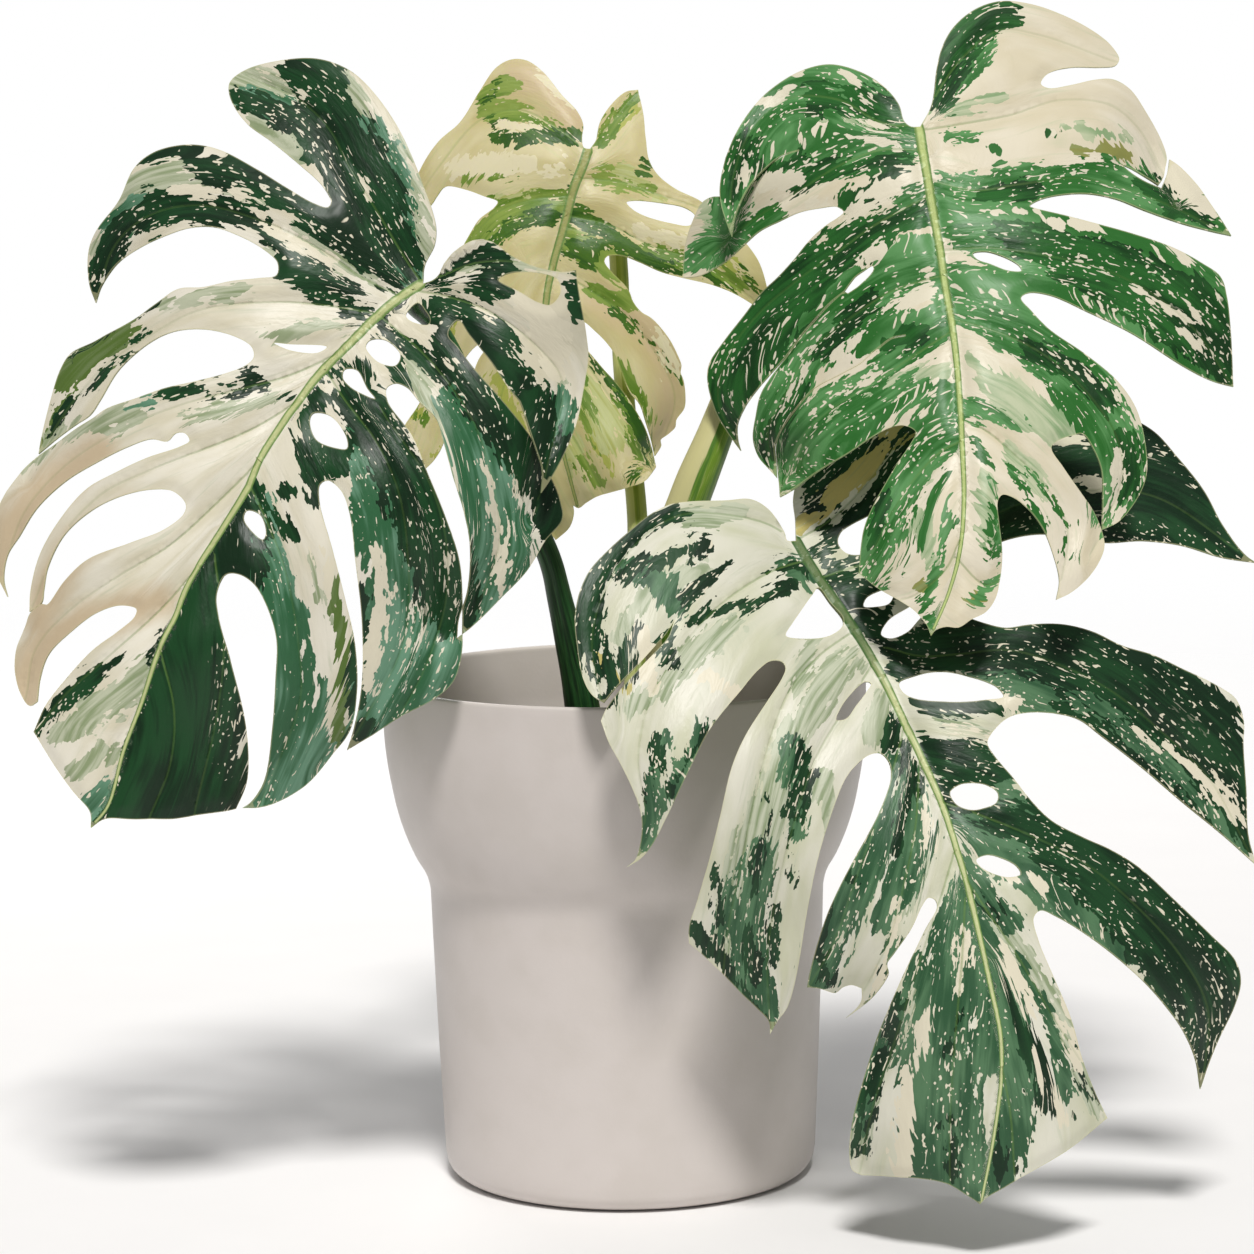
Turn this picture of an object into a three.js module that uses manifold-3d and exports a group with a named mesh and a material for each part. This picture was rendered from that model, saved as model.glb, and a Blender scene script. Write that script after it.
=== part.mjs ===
// Potted variegated monstera: a white two-step pot, soil, a short stem and four cut leaves on stalks.
// Millimetres, +Z up, the front of the plant faces -Y, the origin is the middle of the pot's underside.
import * as THREE from 'three';
import { mergeVertices } from 'three/addons/utils/BufferGeometryUtils.js';
import Module from 'manifold-3d';

// Pot
const POT_HEIGHT = 200;
const RIM_RADIUS = 95.5;
const POT_WALL = 3.2;
const POT_FLOOR = 6;
const POT_SEGMENTS = 48;

// Soil
const SOIL_TOP = 157;
const SOIL_GAP = 0.35;
const SOIL_LUMP = 2.2;
const SOCKET_DEPTH = 26;

// Blades
const BLADE_THICKNESS = 1.0;
const RIB_HEIGHT = 1.9;
const RIB_HALF_WIDTH = 4.2;
const RIB_START = 26;
const BLADE_CELL = 10.6;
const EDGE_STEP = 9.5;
const EDGE_TOLERANCE = 0.5;

// Stalks
const STALK_SIDES = 12;
const STALK_STEPS = 26;
const JOINT_GAP = 0.35;

// The leaf outlines are drawn in photo points: the photograph's own pixels, x right and y down.
// VIEW is the photograph's viewing point, worked out from the pot, so that a drawn point and a
// depth toward the viewer give a place in space. MM_PER_POINT is the drawing scale at the pot's axis.
const MM_PER_POINT = 0.396;
const VIEW = {
  focal: 4017,
  middle: 627,
  place: new THREE.Vector3(1.4, -1575, 416),
  pitch: THREE.MathUtils.degToRad(7.15),
  roll: THREE.MathUtils.degToRad(0.78),
};

/** Place in space of a drawn point, on the upright plane `toward` mm in front of the pot's axis. */
function placeInView(x, y, toward) {
  const ahead = new THREE.Vector3(0, Math.cos(VIEW.pitch), -Math.sin(VIEW.pitch));
  const flatUp = new THREE.Vector3(0, Math.sin(VIEW.pitch), Math.cos(VIEW.pitch));
  const flatRight = new THREE.Vector3(1, 0, 0);
  const right = flatRight.clone().multiplyScalar(Math.cos(VIEW.roll))
    .addScaledVector(flatUp, -Math.sin(VIEW.roll));
  const up = flatUp.clone().multiplyScalar(Math.cos(VIEW.roll))
    .addScaledVector(flatRight, Math.sin(VIEW.roll));
  const ray = ahead.multiplyScalar(VIEW.focal)
    .addScaledVector(right, x - VIEW.middle)
    .addScaledVector(up, VIEW.middle - y);
  const reach = (-toward - VIEW.place.y) / ray.y;
  return VIEW.place.clone().addScaledVector(ray, reach);
}

/** Reads "x,y x,y ..." into an array of number arrays. */
function readPoints(text) {
  return text.trim().split(/\s+/).map((pair) => pair.split(',').map(Number));
}

// Each leaf: `outline` holds runs that meet at corners (lobe tips and notches) and close on the
// first point, `holes` the rounded openings, `flaps` the lobe ends that lie in front of the next
// lobe, `depths` "x,y,toward" in photo points and mm, and `midrib` the line of the main vein.
const LEAVES = [
  {
    name: 'leaf_a',
    color: 0x5f8a6c,
    outline: [
      `423,284 425,266 436,246 438,230 434,212 426,190 414,160 396,124 370,89 350,72 320,61 280,62
       244,71 230,84 232,102 248,126 272,144 300,167 322,187 331,204 328,209 314,205 286,189 260,173
       224,154 200,148 176,149 154,156 137,170 121,201 98,231 90,252 90,284 96,303`,
      `102,286 118,264 140,249 166,237 190,229 214,228 238,236 262,249 278,264 277,276 260,279
       232,282 204,288 180,290 157,305 136,320 98,341 74,354 63,370 51,404 42,438 39,454`,
      `56,440 76,426 92,416 102,401 120,370 150,343 174,332 204,330 234,337 252,348 254,358
       246,366 226,374 196,382 166,389 138,399 108,410 95,419 77,430 57,444 38,457 24,470 10,490
       -2,515 -5,545 -2,575 8,597`,
      `4,580 8,555 20,536 38,508 66,482 96,464 128,448 152,440 168,442 177,434 186,434 190,441
       180,447 148,458 116,473 88,489 62,518 41,554 31,592 30,612`,
      `42,603 44,590 48,568 64,536 90,512 120,497 152,490 174,492 186,504 184,514 164,530 132,543
       90,560 66,582 46,608 34,615 27,626 18,648 16,672 22,696 30,706 38,702`,
      `41,678 50,654 72,632 96,614 120,606 137,609 135,617 118,632 94,650 66,680 46,706 34,732`,
      `46,750 74,789 90,810 91,828`,
      `105,819 140,819 176,818 208,813 234,808`,
      `245,782 247,752 244,716 231,662 219,618 217,594 226,575 240,575 254,584 265,602 276,638
       275,680 272,728 264,782 251,802 242,808`,
      `262,807 286,797 312,778 333,753 350,730 357,690 355,642 345,596 333,548 321,502 322,486
       330,482 343,492 351,514 356,560 362,620 362,680 354,728 347,750`,
      `370,736 398,718 434,698 452,681 460,654 462,600 459,560 446,518 429,476 412,436 388,402
       387,389 396,385 408,390 419,403 436,420 442,440 452,476 463,512 469,545 467,590 458,620
       456,639`,
      `476,623 502,596 524,572 543,542 561,520 559,500 551,478 541,458 531,440 520,425 500,400
       476,372 458,348 449,336 459,321 470,336 490,362 508,390 518,402`,
      `583,388`,
      `587,358 585,336 578,290 576,270`,
      `564,272 536,267 512,256 492,242 476,242 452,257 435,279 423,284`,
    ],
    flaps: [
      {
        lift: 13,
        outline: ['518,402', '521,410 530,436 536,452 542,470 541,493', '550,480 566,450 577,420 583,388'],
      },
    ],
    holes: [
      '418,303 406,316 411,322 429,326 431,321 426,312',
      '366,348 370,341 386,341 400,354 400,362 395,368 378,364',
      '343,378 345,370 358,372 368,390 375,399 354,390',
      '311,422 314,415 331,417 347,438 348,450 338,450 318,442',
      '244,518 247,511 260,515 266,534 263,540 249,528',
      '274,344 290,345 327,347 318,353 290,351',
      '499,280 512,273 545,274 558,280 560,292 550,304 538,302 520,292',
    ],
    midrib: `421,284 400,298 380,314 350,344 320,374 300,400 280,428 260,460 249,486 226,524 200,564
      186,590 176,616 160,648 142,702 124,750 108,806 91,827`,
    depths: `422,284,50 380,314,56 320,374,66 280,428,74 226,524,84 176,616,91 142,702,96 91,827,98
      400,200,40 340,110,22 300,65,10 240,85,6 330,205,44 300,225,47 200,205,32 130,190,17 100,250,10
      95,300,14 250,300,57 150,330,43 80,390,30 42,452,30 200,400,70 110,440,58 30,500,42 6,590,46
      170,465,77 90,510,67 33,605,60 150,550,85 80,595,76 22,680,66 130,655,93 60,715,86 36,733,82
      470,255,56 560,272,66 500,310,66 587,350,58 560,420,64 541,485,66 440,420,82 500,480,80
      530,550,74 457,635,78 380,450,88 420,560,92 450,650,84 349,748,78 290,560,92 340,620,90
      330,740,80 244,800,76 215,640,96 200,740,92 230,800,84`,
  },
  {
    name: 'leaf_b',
    color: 0xa8b070,
    outline: [
      `590,149 584,148 582,138 583,126 577,113 562,97 543,74 527,63 512,62 497,70 480,93 460,123
       440,141 425,162 414,186 406,212 404,226`,
      `418,218 432,205 438,196 446,187 468,191 485,197 498,202 494,208 480,219 469,236 455,264
       446,300 439,340 430,378 419,404 404,428 398,452 402,476`,
      `424,470 440,453 449,428 453,396 462,366 474,349 488,340 496,338 490,346 480,360 474,380
       476,402 490,436 512,474 534,508 548,530 556,540`,
      `570,527 574,514 573,505`,
      `579,508 586,503 596,497 612,492 630,487 645,481 656,467`,
      `651,448 645,430 637,414 620,388 604,370 587,350 576,338 574,328 582,322 594,331 605,342
       615,356 620,370 629,392 639,405 645,422 651,440 655,456`,
      `661,445 660,440 668,434 675,427 676,420 684,408 685,395 683,380 680,372 681,366 677,355
       668,338 652,319 641,312 633,302 629,292 624,285 611,272 604,262 607,257 620,256 640,263
       660,272 682,278 712,285 735,294 752,304 764,312`,
      `769,300 766,285 758,262 742,240 722,218 700,201 675,189 657,175 648,160 645,140 643,115
       638,90`,
      `626,92 611,105 600,122 596,140 590,149`,
    ],
    flaps: [],
    holes: ['626,203 634,201 660,203 685,208 695,216 690,226 670,224 645,217 632,210'],
    midrib: '588,150 583,165 575,185 563,230 553,265 547,295 545,330 547,370 554,410 563,450 571,480 578,506',
    depths: `588,150,-92 570,205,-84 553,265,-77 546,320,-70 548,400,-64 578,506,-62 520,75,-112
      480,120,-106 430,170,-104 406,220,-106 570,120,-98 480,215,-88 460,280,-84 440,370,-84
      404,470,-86 490,400,-74
      635,95,-112 620,130,-102 700,205,-90 760,280,-84 640,240,-82 690,260,-82 766,308,-86
      630,300,-76 680,390,-78 655,455,-76 600,340,-70 600,420,-60 655,468,-60 640,440,-62
      530,480,-66 556,540,-70`,
  },
  {
    name: 'leaf_c',
    color: 0x4e8250,
    outline: [
      `920,127 911,127 904,121 899,106 882,87 858,73 830,66.5 800,73 770,91 750,112 735,136 726,158`,
      `800,152`,
      `785,160 769,173 757,187 742,193 724,196 712,197 703,203 694,222 687,242 684,262 683,278`,
      `700,276 720,266 740,250 760,232 780,222 800,213 822,209 838,208 845,213 840,218 828,226
       812,240 795,260 778,278 762,293 745,315 724,342 710,364 708,380 715,410 726,430 741,451`,
      `738,440 738,425 747,407 760,389 770,377 786,358 802,336 816,320 832,303 846,292`,
      `852,284 857,278 864,273 874,267 875,270 872,275 866,281 858,288 849,294`,
      `834,306 818,323 804,339 788,361 773,379 762,395 757,415 754,438 759,456 768,468 777,478`,
      `776,462 775,447 779,436 786,424 796,411 808,397 820,387 835,379 850,371 862,364 873,354
       882,347 893,339 906,336`,
      `894,342 884,350 874,357 863,367 850,374 836,382 821,390 809,400 798,413 788,426 781,438
       778,450 778,465 780,497`,
      `797,488 825,470 850,455 872,440 890,430 905,427 917,433 912,444 899,463 885,486 873,508
       865,528 861,550 859,573`,
      `878,588 900,601 915,611 926,624 931,636`,
      `936,630 946,627 958,628 970,620 985,612 995,598 1000,578 1001,555 997,522 996,503 1001,496
       1013,499 1028,511 1042,530 1053,556 1059,580 1056,600`,
      `1070,593 1085,580 1098,563 1104,545 1097,520 1082,497 1062,468 1050,448 1058,441 1070,437
       1081,435 1092,450 1100,470 1102,500 1102,530`,
      `1118,522 1133,504 1144,480 1145,455 1135,412 1116,383 1085,356 1048,330 1030,312 1020,300
       1028,295 1050,298 1085,314 1130,336 1180,367 1210,381 1233,387`,
      `1231,355 1228,325 1224,298 1218,279 1200,266 1170,250 1130,236 1090,225 1055,216 1036,211
       1029,208 1040,201 1062,196 1088,195 1115,200 1145,212 1180,224 1208,231 1231,236`,
      `1222,222 1208,203 1192,182 1178,167 1169,160`,
      `1167,174 1161,189`,
      `1146,183 1132,175 1119,165`,
      `1132,171 1146,179 1158,186`,
      `1163,178 1165,168 1166,158 1160,140 1145,113 1129,91 1113,81 1095,81 1070,86 1048,89 1040,85
       1046,76 1070,69 1100,68 1115,66 1119,60 1110,46 1090,31 1060,16 1030,6 1000,3 975,11 954,28
       942,48 936,72 934,92 930,109 920,127`,
    ],
    flaps: [
      {
        lift: 20,
        outline: ['726,158', '721,180 720,195 723,212 732,237', '735,218 742,201 752,185 766,171 784,157 800,152'],
      },
    ],
    holes: ['973,254 985,252 1000,256 1018,266 1021,272 1008,272 990,265 977,260'],
    midrib: `919,128 926,170 932,205 940,250 946,290 953,330 958,375 961,420 963,460 964,500 960,550
      948,595 931,635`,
    depths: `919,128,18 930,190,34 946,290,56 958,375,76 963,460,94 960,550,108 931,636,114 870,100,6
      830,68,-10 780,100,-8 735,140,-2 850,160,20 770,200,8 720,235,-4 684,276,-8 850,240,34
      780,300,24 720,370,16 740,448,22 880,300,50 810,370,42 765,440,34 777,476,38 900,380,68
      820,430,62 780,495,62 900,470,84 870,540,92 861,570,90 900,590,104 1000,460,92 1050,510,94
      1095,550,92 1057,598,100 1000,560,104 1040,380,74 1110,430,74 1143,470,72 1103,528,82
      1040,260,50 1120,300,44 1200,300,28 1225,280,20 1233,386,26 1060,180,22 1150,200,8 1229,234,-2
      1020,120,6 1110,110,-10 1160,170,-14 960,60,-6 1000,5,-26 1080,40,-28 1118,62,-30`,
  },
  {
    name: 'leaf_d',
    color: 0x3f6b4c,
    outline: [
      `796,541 787,541 784,532 768,510 750,500 725,501 690,502 670,505 650,515 630,531 610,549
       590,571 580,592 575,618 577,645 583,678 592,695 604,703`,
      `614,691 626,679 641,663 655,647 665,636 674,622`,
      `668,638 658,650 643,666 627,684 614,699 606,710 601,721`,
      `608,740 620,762 632,787 639,806 642,825 640,845 635,860 627,867`,
      `641,858 652,845 666,818 682,784 697,753 709,731 725,710 741,691 748,682 757,672 769,663
       781,663 785,669 781,680 768,700 744,738 731,768 721,810 710,855 696,903 689,925 689,941`,
      `700,951 718,969 738,989 756,1007 769,1022 770,1034`,
      `778,1020 787,1007 794,985 800,955 808,908 817,862 828,822 844,780 856,765 868,756 880,754
       889,763 891,777 885,798 871,829 852,863 838,890 827,915 818,942 811,967 807,987`,
      `820,988 836,991 843,986 852,984 862,988`,
      `862,1000 856,1009 846,1018`,
      `860,1008 872,998 885,982 889,973 887,964 894,954 912,928 922,906 928,898 935,900 937,907
       925,930 906,970 892,1003 880,1033 865,1078 853,1122 850,1155 853,1170 862,1175`,
      `890,1175 920,1177 948,1184 966,1194 980,1204`,
      `986,1198 1018,1179 1060,1152 1090,1131 1107,1118`,
      `1095,1093 1083,1062 1070,1018 1053,978 1037,940 1032,918 1038,911 1055,918 1080,933
       1110,955 1140,981 1162,1005 1182,1032 1195,1060 1200,1089`,
      `1207,1068 1217,1042 1233,1005 1238,980 1232,960 1208,935 1175,903 1138,869 1110,851
       1080,837 1050,821 1028,800 1012,780 992,756 986,744 992,732 1006,719 1025,714 1055,715
       1077,721 1100,738 1135,765 1180,803 1225,838 1256,865`,
      `1248,835 1245,790 1241,745 1241,722 1233,700 1215,687 1180,670 1150,656 1120,647 1090,633
       1060,626 1030,626 1005,629 984,625 960,618 940,614 923,619 908,633 890,639 881,635 888,622
       908,610 930,598 960,570 985,552 1005,542 1040,536 1075,541 1105,545 1140,543 1180,547
       1220,558 1256,563`,
      `1245,555 1222,525 1203,492 1175,458 1150,432 1110,413 1080,408 1040,415 1000,435 965,465
       935,500 910,525 885,545 862,555 846,554 838,545 841,533 852,525 866,518 890,505 915,488
       935,462 945,435 948,408`,
      `915,400 880,410 845,432 815,458 797,480 792,500 795,522 796,541`,
    ],
    flaps: [],
    holes: [
      '863,608 866,600 876,594 888,591 893,597 889,606 876,609',
      '899,684 912,678 930,673 950,673 970,678 985,683 996,689 1002,698 985,701 965,703 945,703 915,700 903,693',
      '950,793 958,786 970,784 985,786 997,794 996,803 985,808 970,810 957,805',
      '976,860 986,856 1000,859 1015,867 1019,875 1008,878 992,874 979,866',
      '818,588 830,603 843,619 842,627 830,636 808,640 784,638 790,627 802,610 812,596',
      '836,720 840,709 850,695 865,682 871,684 866,693 856,706 846,719',
    ],
    midrib: `796,541 808,562 825,588 845,616 865,648 885,683 902,718 920,755 941,803 953,838 967,885
      979,935 990,985 1000,1035 1001,1075 993,1140 981,1203`,
    depths: `796,541,56 835,602,74 875,665,88 912,738,102 941,803,114 967,885,126 990,985,136
      1001,1075,142 981,1203,142 740,502,58 650,530,74 590,600,94 578,650,102 598,700,112 740,600,86
      680,640,102 640,690,114 606,728,118 650,770,126 627,866,120 710,718,118 800,690,104
      760,760,122 715,850,124 690,938,114 770,1030,108 800,930,116 845,880,124 808,985,112
      848,1015,108 890,920,128 900,1010,132 858,1110,124 853,1172,116 1060,1060,134 1106,1118,122
      1040,850,116 1130,900,104 1225,970,88 1200,1087,92 960,656,90 1050,660,82 1150,710,72
      1240,740,62 1254,862,70 1150,770,76 850,570,64 950,560,56 1050,470,40 1150,470,30 1250,561,34
      850,480,44 800,490,46 905,440,34 946,410,28`,
  },
];

/** Distance from p to the segment from a to b, all flat arrays. */
function segmentDistance(p, a, b) {
  const along = [b[0] - a[0], b[1] - a[1]];
  const length = along[0] ** 2 + along[1] ** 2 || 1;
  const share = ((p[0] - a[0]) * along[0] + (p[1] - a[1]) * along[1]) / length;
  const held = Math.min(1, Math.max(0, share));
  return Math.hypot(p[0] - a[0] - held * along[0], p[1] - a[1] - held * along[1]);
}

/** Distance from p to a line of points, with how far along the line the nearest place is. */
function lineDistance(p, line) {
  let best = { distance: Infinity, along: 0 };
  let passed = 0;
  for (let i = 1; i < line.length; i += 1) {
    const distance = segmentDistance(p, line[i - 1], line[i]);
    const length = Math.hypot(line[i][0] - line[i - 1][0], line[i][1] - line[i - 1][1]);
    if (distance < best.distance) {
      const back = Math.hypot(p[0] - line[i - 1][0], p[1] - line[i - 1][1]);
      best = { distance, along: passed + Math.sqrt(Math.max(0, back ** 2 - distance ** 2)) };
    }
    passed += length;
  }
  return best;
}

/** Keeps the points of a fine line that its shape needs (Douglas and Peucker). */
function thinLine(points, tolerance) {
  const first = points[0];
  const last = points[points.length - 1];
  let worst = 0;
  let at = 0;
  for (let i = 1; i < points.length - 1; i += 1) {
    const distance = segmentDistance(points[i], first, last);
    if (distance > worst) {
      worst = distance;
      at = i;
    }
  }
  if (worst <= tolerance) {
    return [first, last];
  }
  const before = thinLine(points.slice(0, at + 1), tolerance);
  return [...before, ...thinLine(points.slice(at), tolerance).slice(1)];
}

/** Splits every side that is longer than `step` into equal lengths. */
function splitSides(points, step) {
  const out = [points[0]];
  for (let i = 1; i < points.length; i += 1) {
    const [a, b] = [points[i - 1], points[i]];
    const parts = Math.max(1, Math.ceil(Math.hypot(b[0] - a[0], b[1] - a[1]) / step - 0.05));
    for (let k = 1; k <= parts; k += 1) {
      out.push([a[0] + ((b[0] - a[0]) * k) / parts, a[1] + ((b[1] - a[1]) * k) / parts]);
    }
  }
  return out;
}

/** A smooth line through the points as straight sides. */
function smoothLine(points, closed) {
  const curve = new THREE.CatmullRomCurve3(
    points.map(([x, y]) => new THREE.Vector3(x, y, 0)), closed, 'centripetal');
  const fine = curve.getPoints(points.length * 8).map((p) => [p.x, p.y]);
  const tolerance = EDGE_TOLERANCE / MM_PER_POINT;
  const step = EDGE_STEP / MM_PER_POINT;
  if (!closed) {
    return splitSides(thinLine(fine, tolerance), step);
  }
  const half = Math.floor(fine.length / 2);
  const loop = [...thinLine(fine.slice(0, half + 1), tolerance), ...thinLine(fine.slice(half), tolerance).slice(1)];
  return splitSides(loop, step).slice(0, -1);
}

/** The closed edge of a blade part: smooth runs that meet at corners, closed by a straight side. */
function edgeOf(runs) {
  const edge = [];
  let corner = null;
  runs.forEach((run) => {
    const points = readPoints(run);
    const whole = corner ? [corner, ...points] : points;
    const line = whole.length > 2 ? smoothLine(whole, false) : splitSides(whole, EDGE_STEP / MM_PER_POINT);
    edge.push(...(corner ? line.slice(1) : line));
    corner = points[points.length - 1];
  });
  const first = edge[0];
  if (Math.hypot(first[0] - corner[0], first[1] - corner[1]) < 1e-6) {
    edge.pop();
    return edge;
  }
  return [...edge, ...splitSides([corner, first], EDGE_STEP / MM_PER_POINT).slice(1, -1)];
}

/** Turns a triangulation's inner sides until every triangle is as round as it can be. */
function turnSides(points, triangles, fixed) {
  const inCircle = (a, b, c, d) => {
    const m = [a, b, c].map((p) => [p[0] - d[0], p[1] - d[1], (p[0] - d[0]) ** 2 + (p[1] - d[1]) ** 2]);
    return m[0][0] * (m[1][1] * m[2][2] - m[2][1] * m[1][2])
      - m[0][1] * (m[1][0] * m[2][2] - m[2][0] * m[1][2])
      + m[0][2] * (m[1][0] * m[2][1] - m[2][0] * m[1][1]);
  };
  for (let round = 0; round < 60; round += 1) {
    const sides = new Map();
    triangles.forEach((t, index) => {
      for (let k = 0; k < 3; k += 1) {
        const key = sideKey(t[k], t[(k + 1) % 3]);
        sides.set(key, [...(sides.get(key) || []), index]);
      }
    });
    const touched = new Set();
    let turned = 0;
    sides.forEach((owners, key) => {
      if (owners.length !== 2 || fixed.has(key) || owners.some((o) => touched.has(o))) {
        return;
      }
      const [one, two] = owners.map((o) => triangles[o]);
      const start = one.findIndex((v, k) => sideKey(v, one[(k + 1) % 3]) === key);
      const [a, b, c] = [one[start], one[(start + 1) % 3], one[(start + 2) % 3]];
      const d = two.find((v) => v !== a && v !== b);
      const [pa, pb, pc, pd] = [a, b, c, d].map((v) => points[v]);
      const keepsShape = area(pa, pd, pc) > 1e-6 && area(pd, pb, pc) > 1e-6;
      if (keepsShape && inCircle(pa, pb, pc, pd) > 1e-6) {
        triangles[owners[0]] = [a, d, c];
        triangles[owners[1]] = [d, b, c];
        owners.forEach((o) => touched.add(o));
        turned += 1;
      }
    });
    if (turned === 0) {
      return;
    }
  }
}

function sideKey(a, b) {
  return a < b ? `${a}_${b}` : `${b}_${a}`;
}

function area(a, b, c) {
  return (b[0] - a[0]) * (c[1] - a[1]) - (b[1] - a[1]) * (c[0] - a[0]);
}

function signedArea(loop) {
  return loop.reduce((sum, p, i) => {
    const q = loop[(i + 1) % loop.length];
    return sum + (p[0] * q[1] - q[0] * p[1]) / 2;
  }, 0);
}

function isInside(p, loop) {
  let inside = false;
  for (let i = 0, j = loop.length - 1; i < loop.length; j = i, i += 1) {
    const [a, b] = [loop[i], loop[j]];
    if ((a[1] > p[1]) !== (b[1] > p[1]) && p[0] < ((b[0] - a[0]) * (p[1] - a[1])) / (b[1] - a[1]) + a[0]) {
      inside = !inside;
    }
  }
  return inside;
}

/** Points inside a blade part: three rows along the midrib, and an even field for the rest. */
function innerPoints(loops, midrib) {
  const cell = BLADE_CELL / MM_PER_POINT;
  const fits = (p, room) => {
    const within = isInside(p, loops[0]) && !loops.slice(1).some((hole) => isInside(p, hole));
    return within && loops.every((loop) => loop.every((a, i) => (
      segmentDistance(p, a, loop[(i + 1) % loop.length]) > room)));
  };
  const found = [];
  const ribRow = RIB_HALF_WIDTH / MM_PER_POINT;
  const rib = new THREE.CatmullRomCurve3(midrib.map(([x, y]) => new THREE.Vector3(x, y, 0)));
  const rows = Math.round(rib.getLength() / (cell * 0.9));
  for (let i = 0; i <= rows; i += 1) {
    const at = rib.getPointAt(i / rows);
    const along = rib.getTangentAt(i / rows);
    [0, ribRow, -ribRow].forEach((side) => {
      const p = [at.x - along.y * side, at.y + along.x * side];
      if (fits(p, cell * 0.22)) {
        found.push(p);
      }
    });
  }
  const xs = loops[0].map((p) => p[0]);
  const ys = loops[0].map((p) => p[1]);
  let row = 0;
  for (let y = Math.min(...ys); y < Math.max(...ys); y += cell * 0.866) {
    for (let x = Math.min(...xs) + (row % 2) * cell * 0.5; x < Math.max(...xs); x += cell) {
      if (lineDistance([x, y], midrib).distance > ribRow + cell * 0.55 && fits([x, y], cell * 0.5)) {
        found.push([x, y]);
      }
    }
    row += 1;
  }
  return found;
}

/** Triangles of a blade part with holes. Points turn anticlockwise in x right, y down drawing axes. */
function triangulate(loops, inner) {
  const points = loops.flat();
  const contour = loops.map((loop) => loop.map(([x, y]) => new THREE.Vector2(x, y)));
  const triangles = THREE.ShapeUtils.triangulateShape(contour[0], contour.slice(1))
    .map((t) => (area(points[t[0]], points[t[1]], points[t[2]]) > 0 ? t : [t[0], t[2], t[1]]));
  const fixed = new Set();
  let base = 0;
  loops.forEach((loop) => {
    loop.forEach((_, i) => fixed.add(sideKey(base + i, base + ((i + 1) % loop.length))));
    base += loop.length;
  });
  turnSides(points, triangles, fixed);
  inner.forEach((p) => {
    const index = triangles.findIndex(([a, b, c]) => (
      area(points[a], points[b], p) > 1e-3
      && area(points[b], points[c], p) > 1e-3
      && area(points[c], points[a], p) > 1e-3));
    if (index < 0) {
      return;
    }
    const [a, b, c] = triangles[index];
    const added = points.push(p) - 1;
    triangles.splice(index, 1, [a, b, added], [b, c, added], [c, a, added]);
  });
  turnSides(points, triangles, fixed);
  return { points, triangles, sides: fixed };
}

/** Solves a full set of linear equations by elimination with row exchange. */
function solve(matrix, values) {
  const rows = matrix.map((row, i) => [...row, values[i]]);
  const size = rows.length;
  for (let k = 0; k < size; k += 1) {
    let best = k;
    for (let i = k + 1; i < size; i += 1) {
      best = Math.abs(rows[i][k]) > Math.abs(rows[best][k]) ? i : best;
    }
    [rows[k], rows[best]] = [rows[best], rows[k]];
    for (let i = k + 1; i < size; i += 1) {
      const factor = rows[i][k] / rows[k][k];
      for (let j = k; j <= size; j += 1) {
        rows[i][j] -= factor * rows[k][j];
      }
    }
  }
  const out = new Array(size).fill(0);
  for (let k = size - 1; k >= 0; k -= 1) {
    let sum = rows[k][size];
    for (let j = k + 1; j < size; j += 1) {
      sum -= rows[k][j] * out[j];
    }
    out[k] = sum / rows[k][k];
  }
  return out;
}

/** A thin bent plate through the given depths: returns depth as a function of a drawn point. */
function bentPlate(pins) {
  const unit = 100;
  const bend = (r2) => (r2 > 0 ? r2 * Math.log(r2) : 0);
  const gap = (a, b) => ((a[0] - b[0]) ** 2 + (a[1] - b[1]) ** 2) / unit ** 2;
  const rows = pins.map((p) => [...pins.map((q) => bend(gap(p, q))), 1, p[0] / unit, p[1] / unit]);
  pins.forEach((p, i) => {
    rows[i][i] += 0.02;
  });
  [(p) => 1, (p) => p[0] / unit, (p) => p[1] / unit].forEach((basis) => {
    rows.push([...pins.map(basis), 0, 0, 0]);
  });
  const weights = solve(rows, [...pins.map((p) => p[2]), 0, 0, 0]);
  const count = pins.length;
  return (p) => {
    const flat = weights[count] + (weights[count + 1] * p[0] + weights[count + 2] * p[1]) / unit;
    return pins.reduce((sum, q, i) => sum + weights[i] * bend(gap(p, q)), flat);
  };
}

function smoothStep(t) {
  const held = Math.min(1, Math.max(0, t));
  return held * held * (3 - 2 * held);
}

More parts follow.
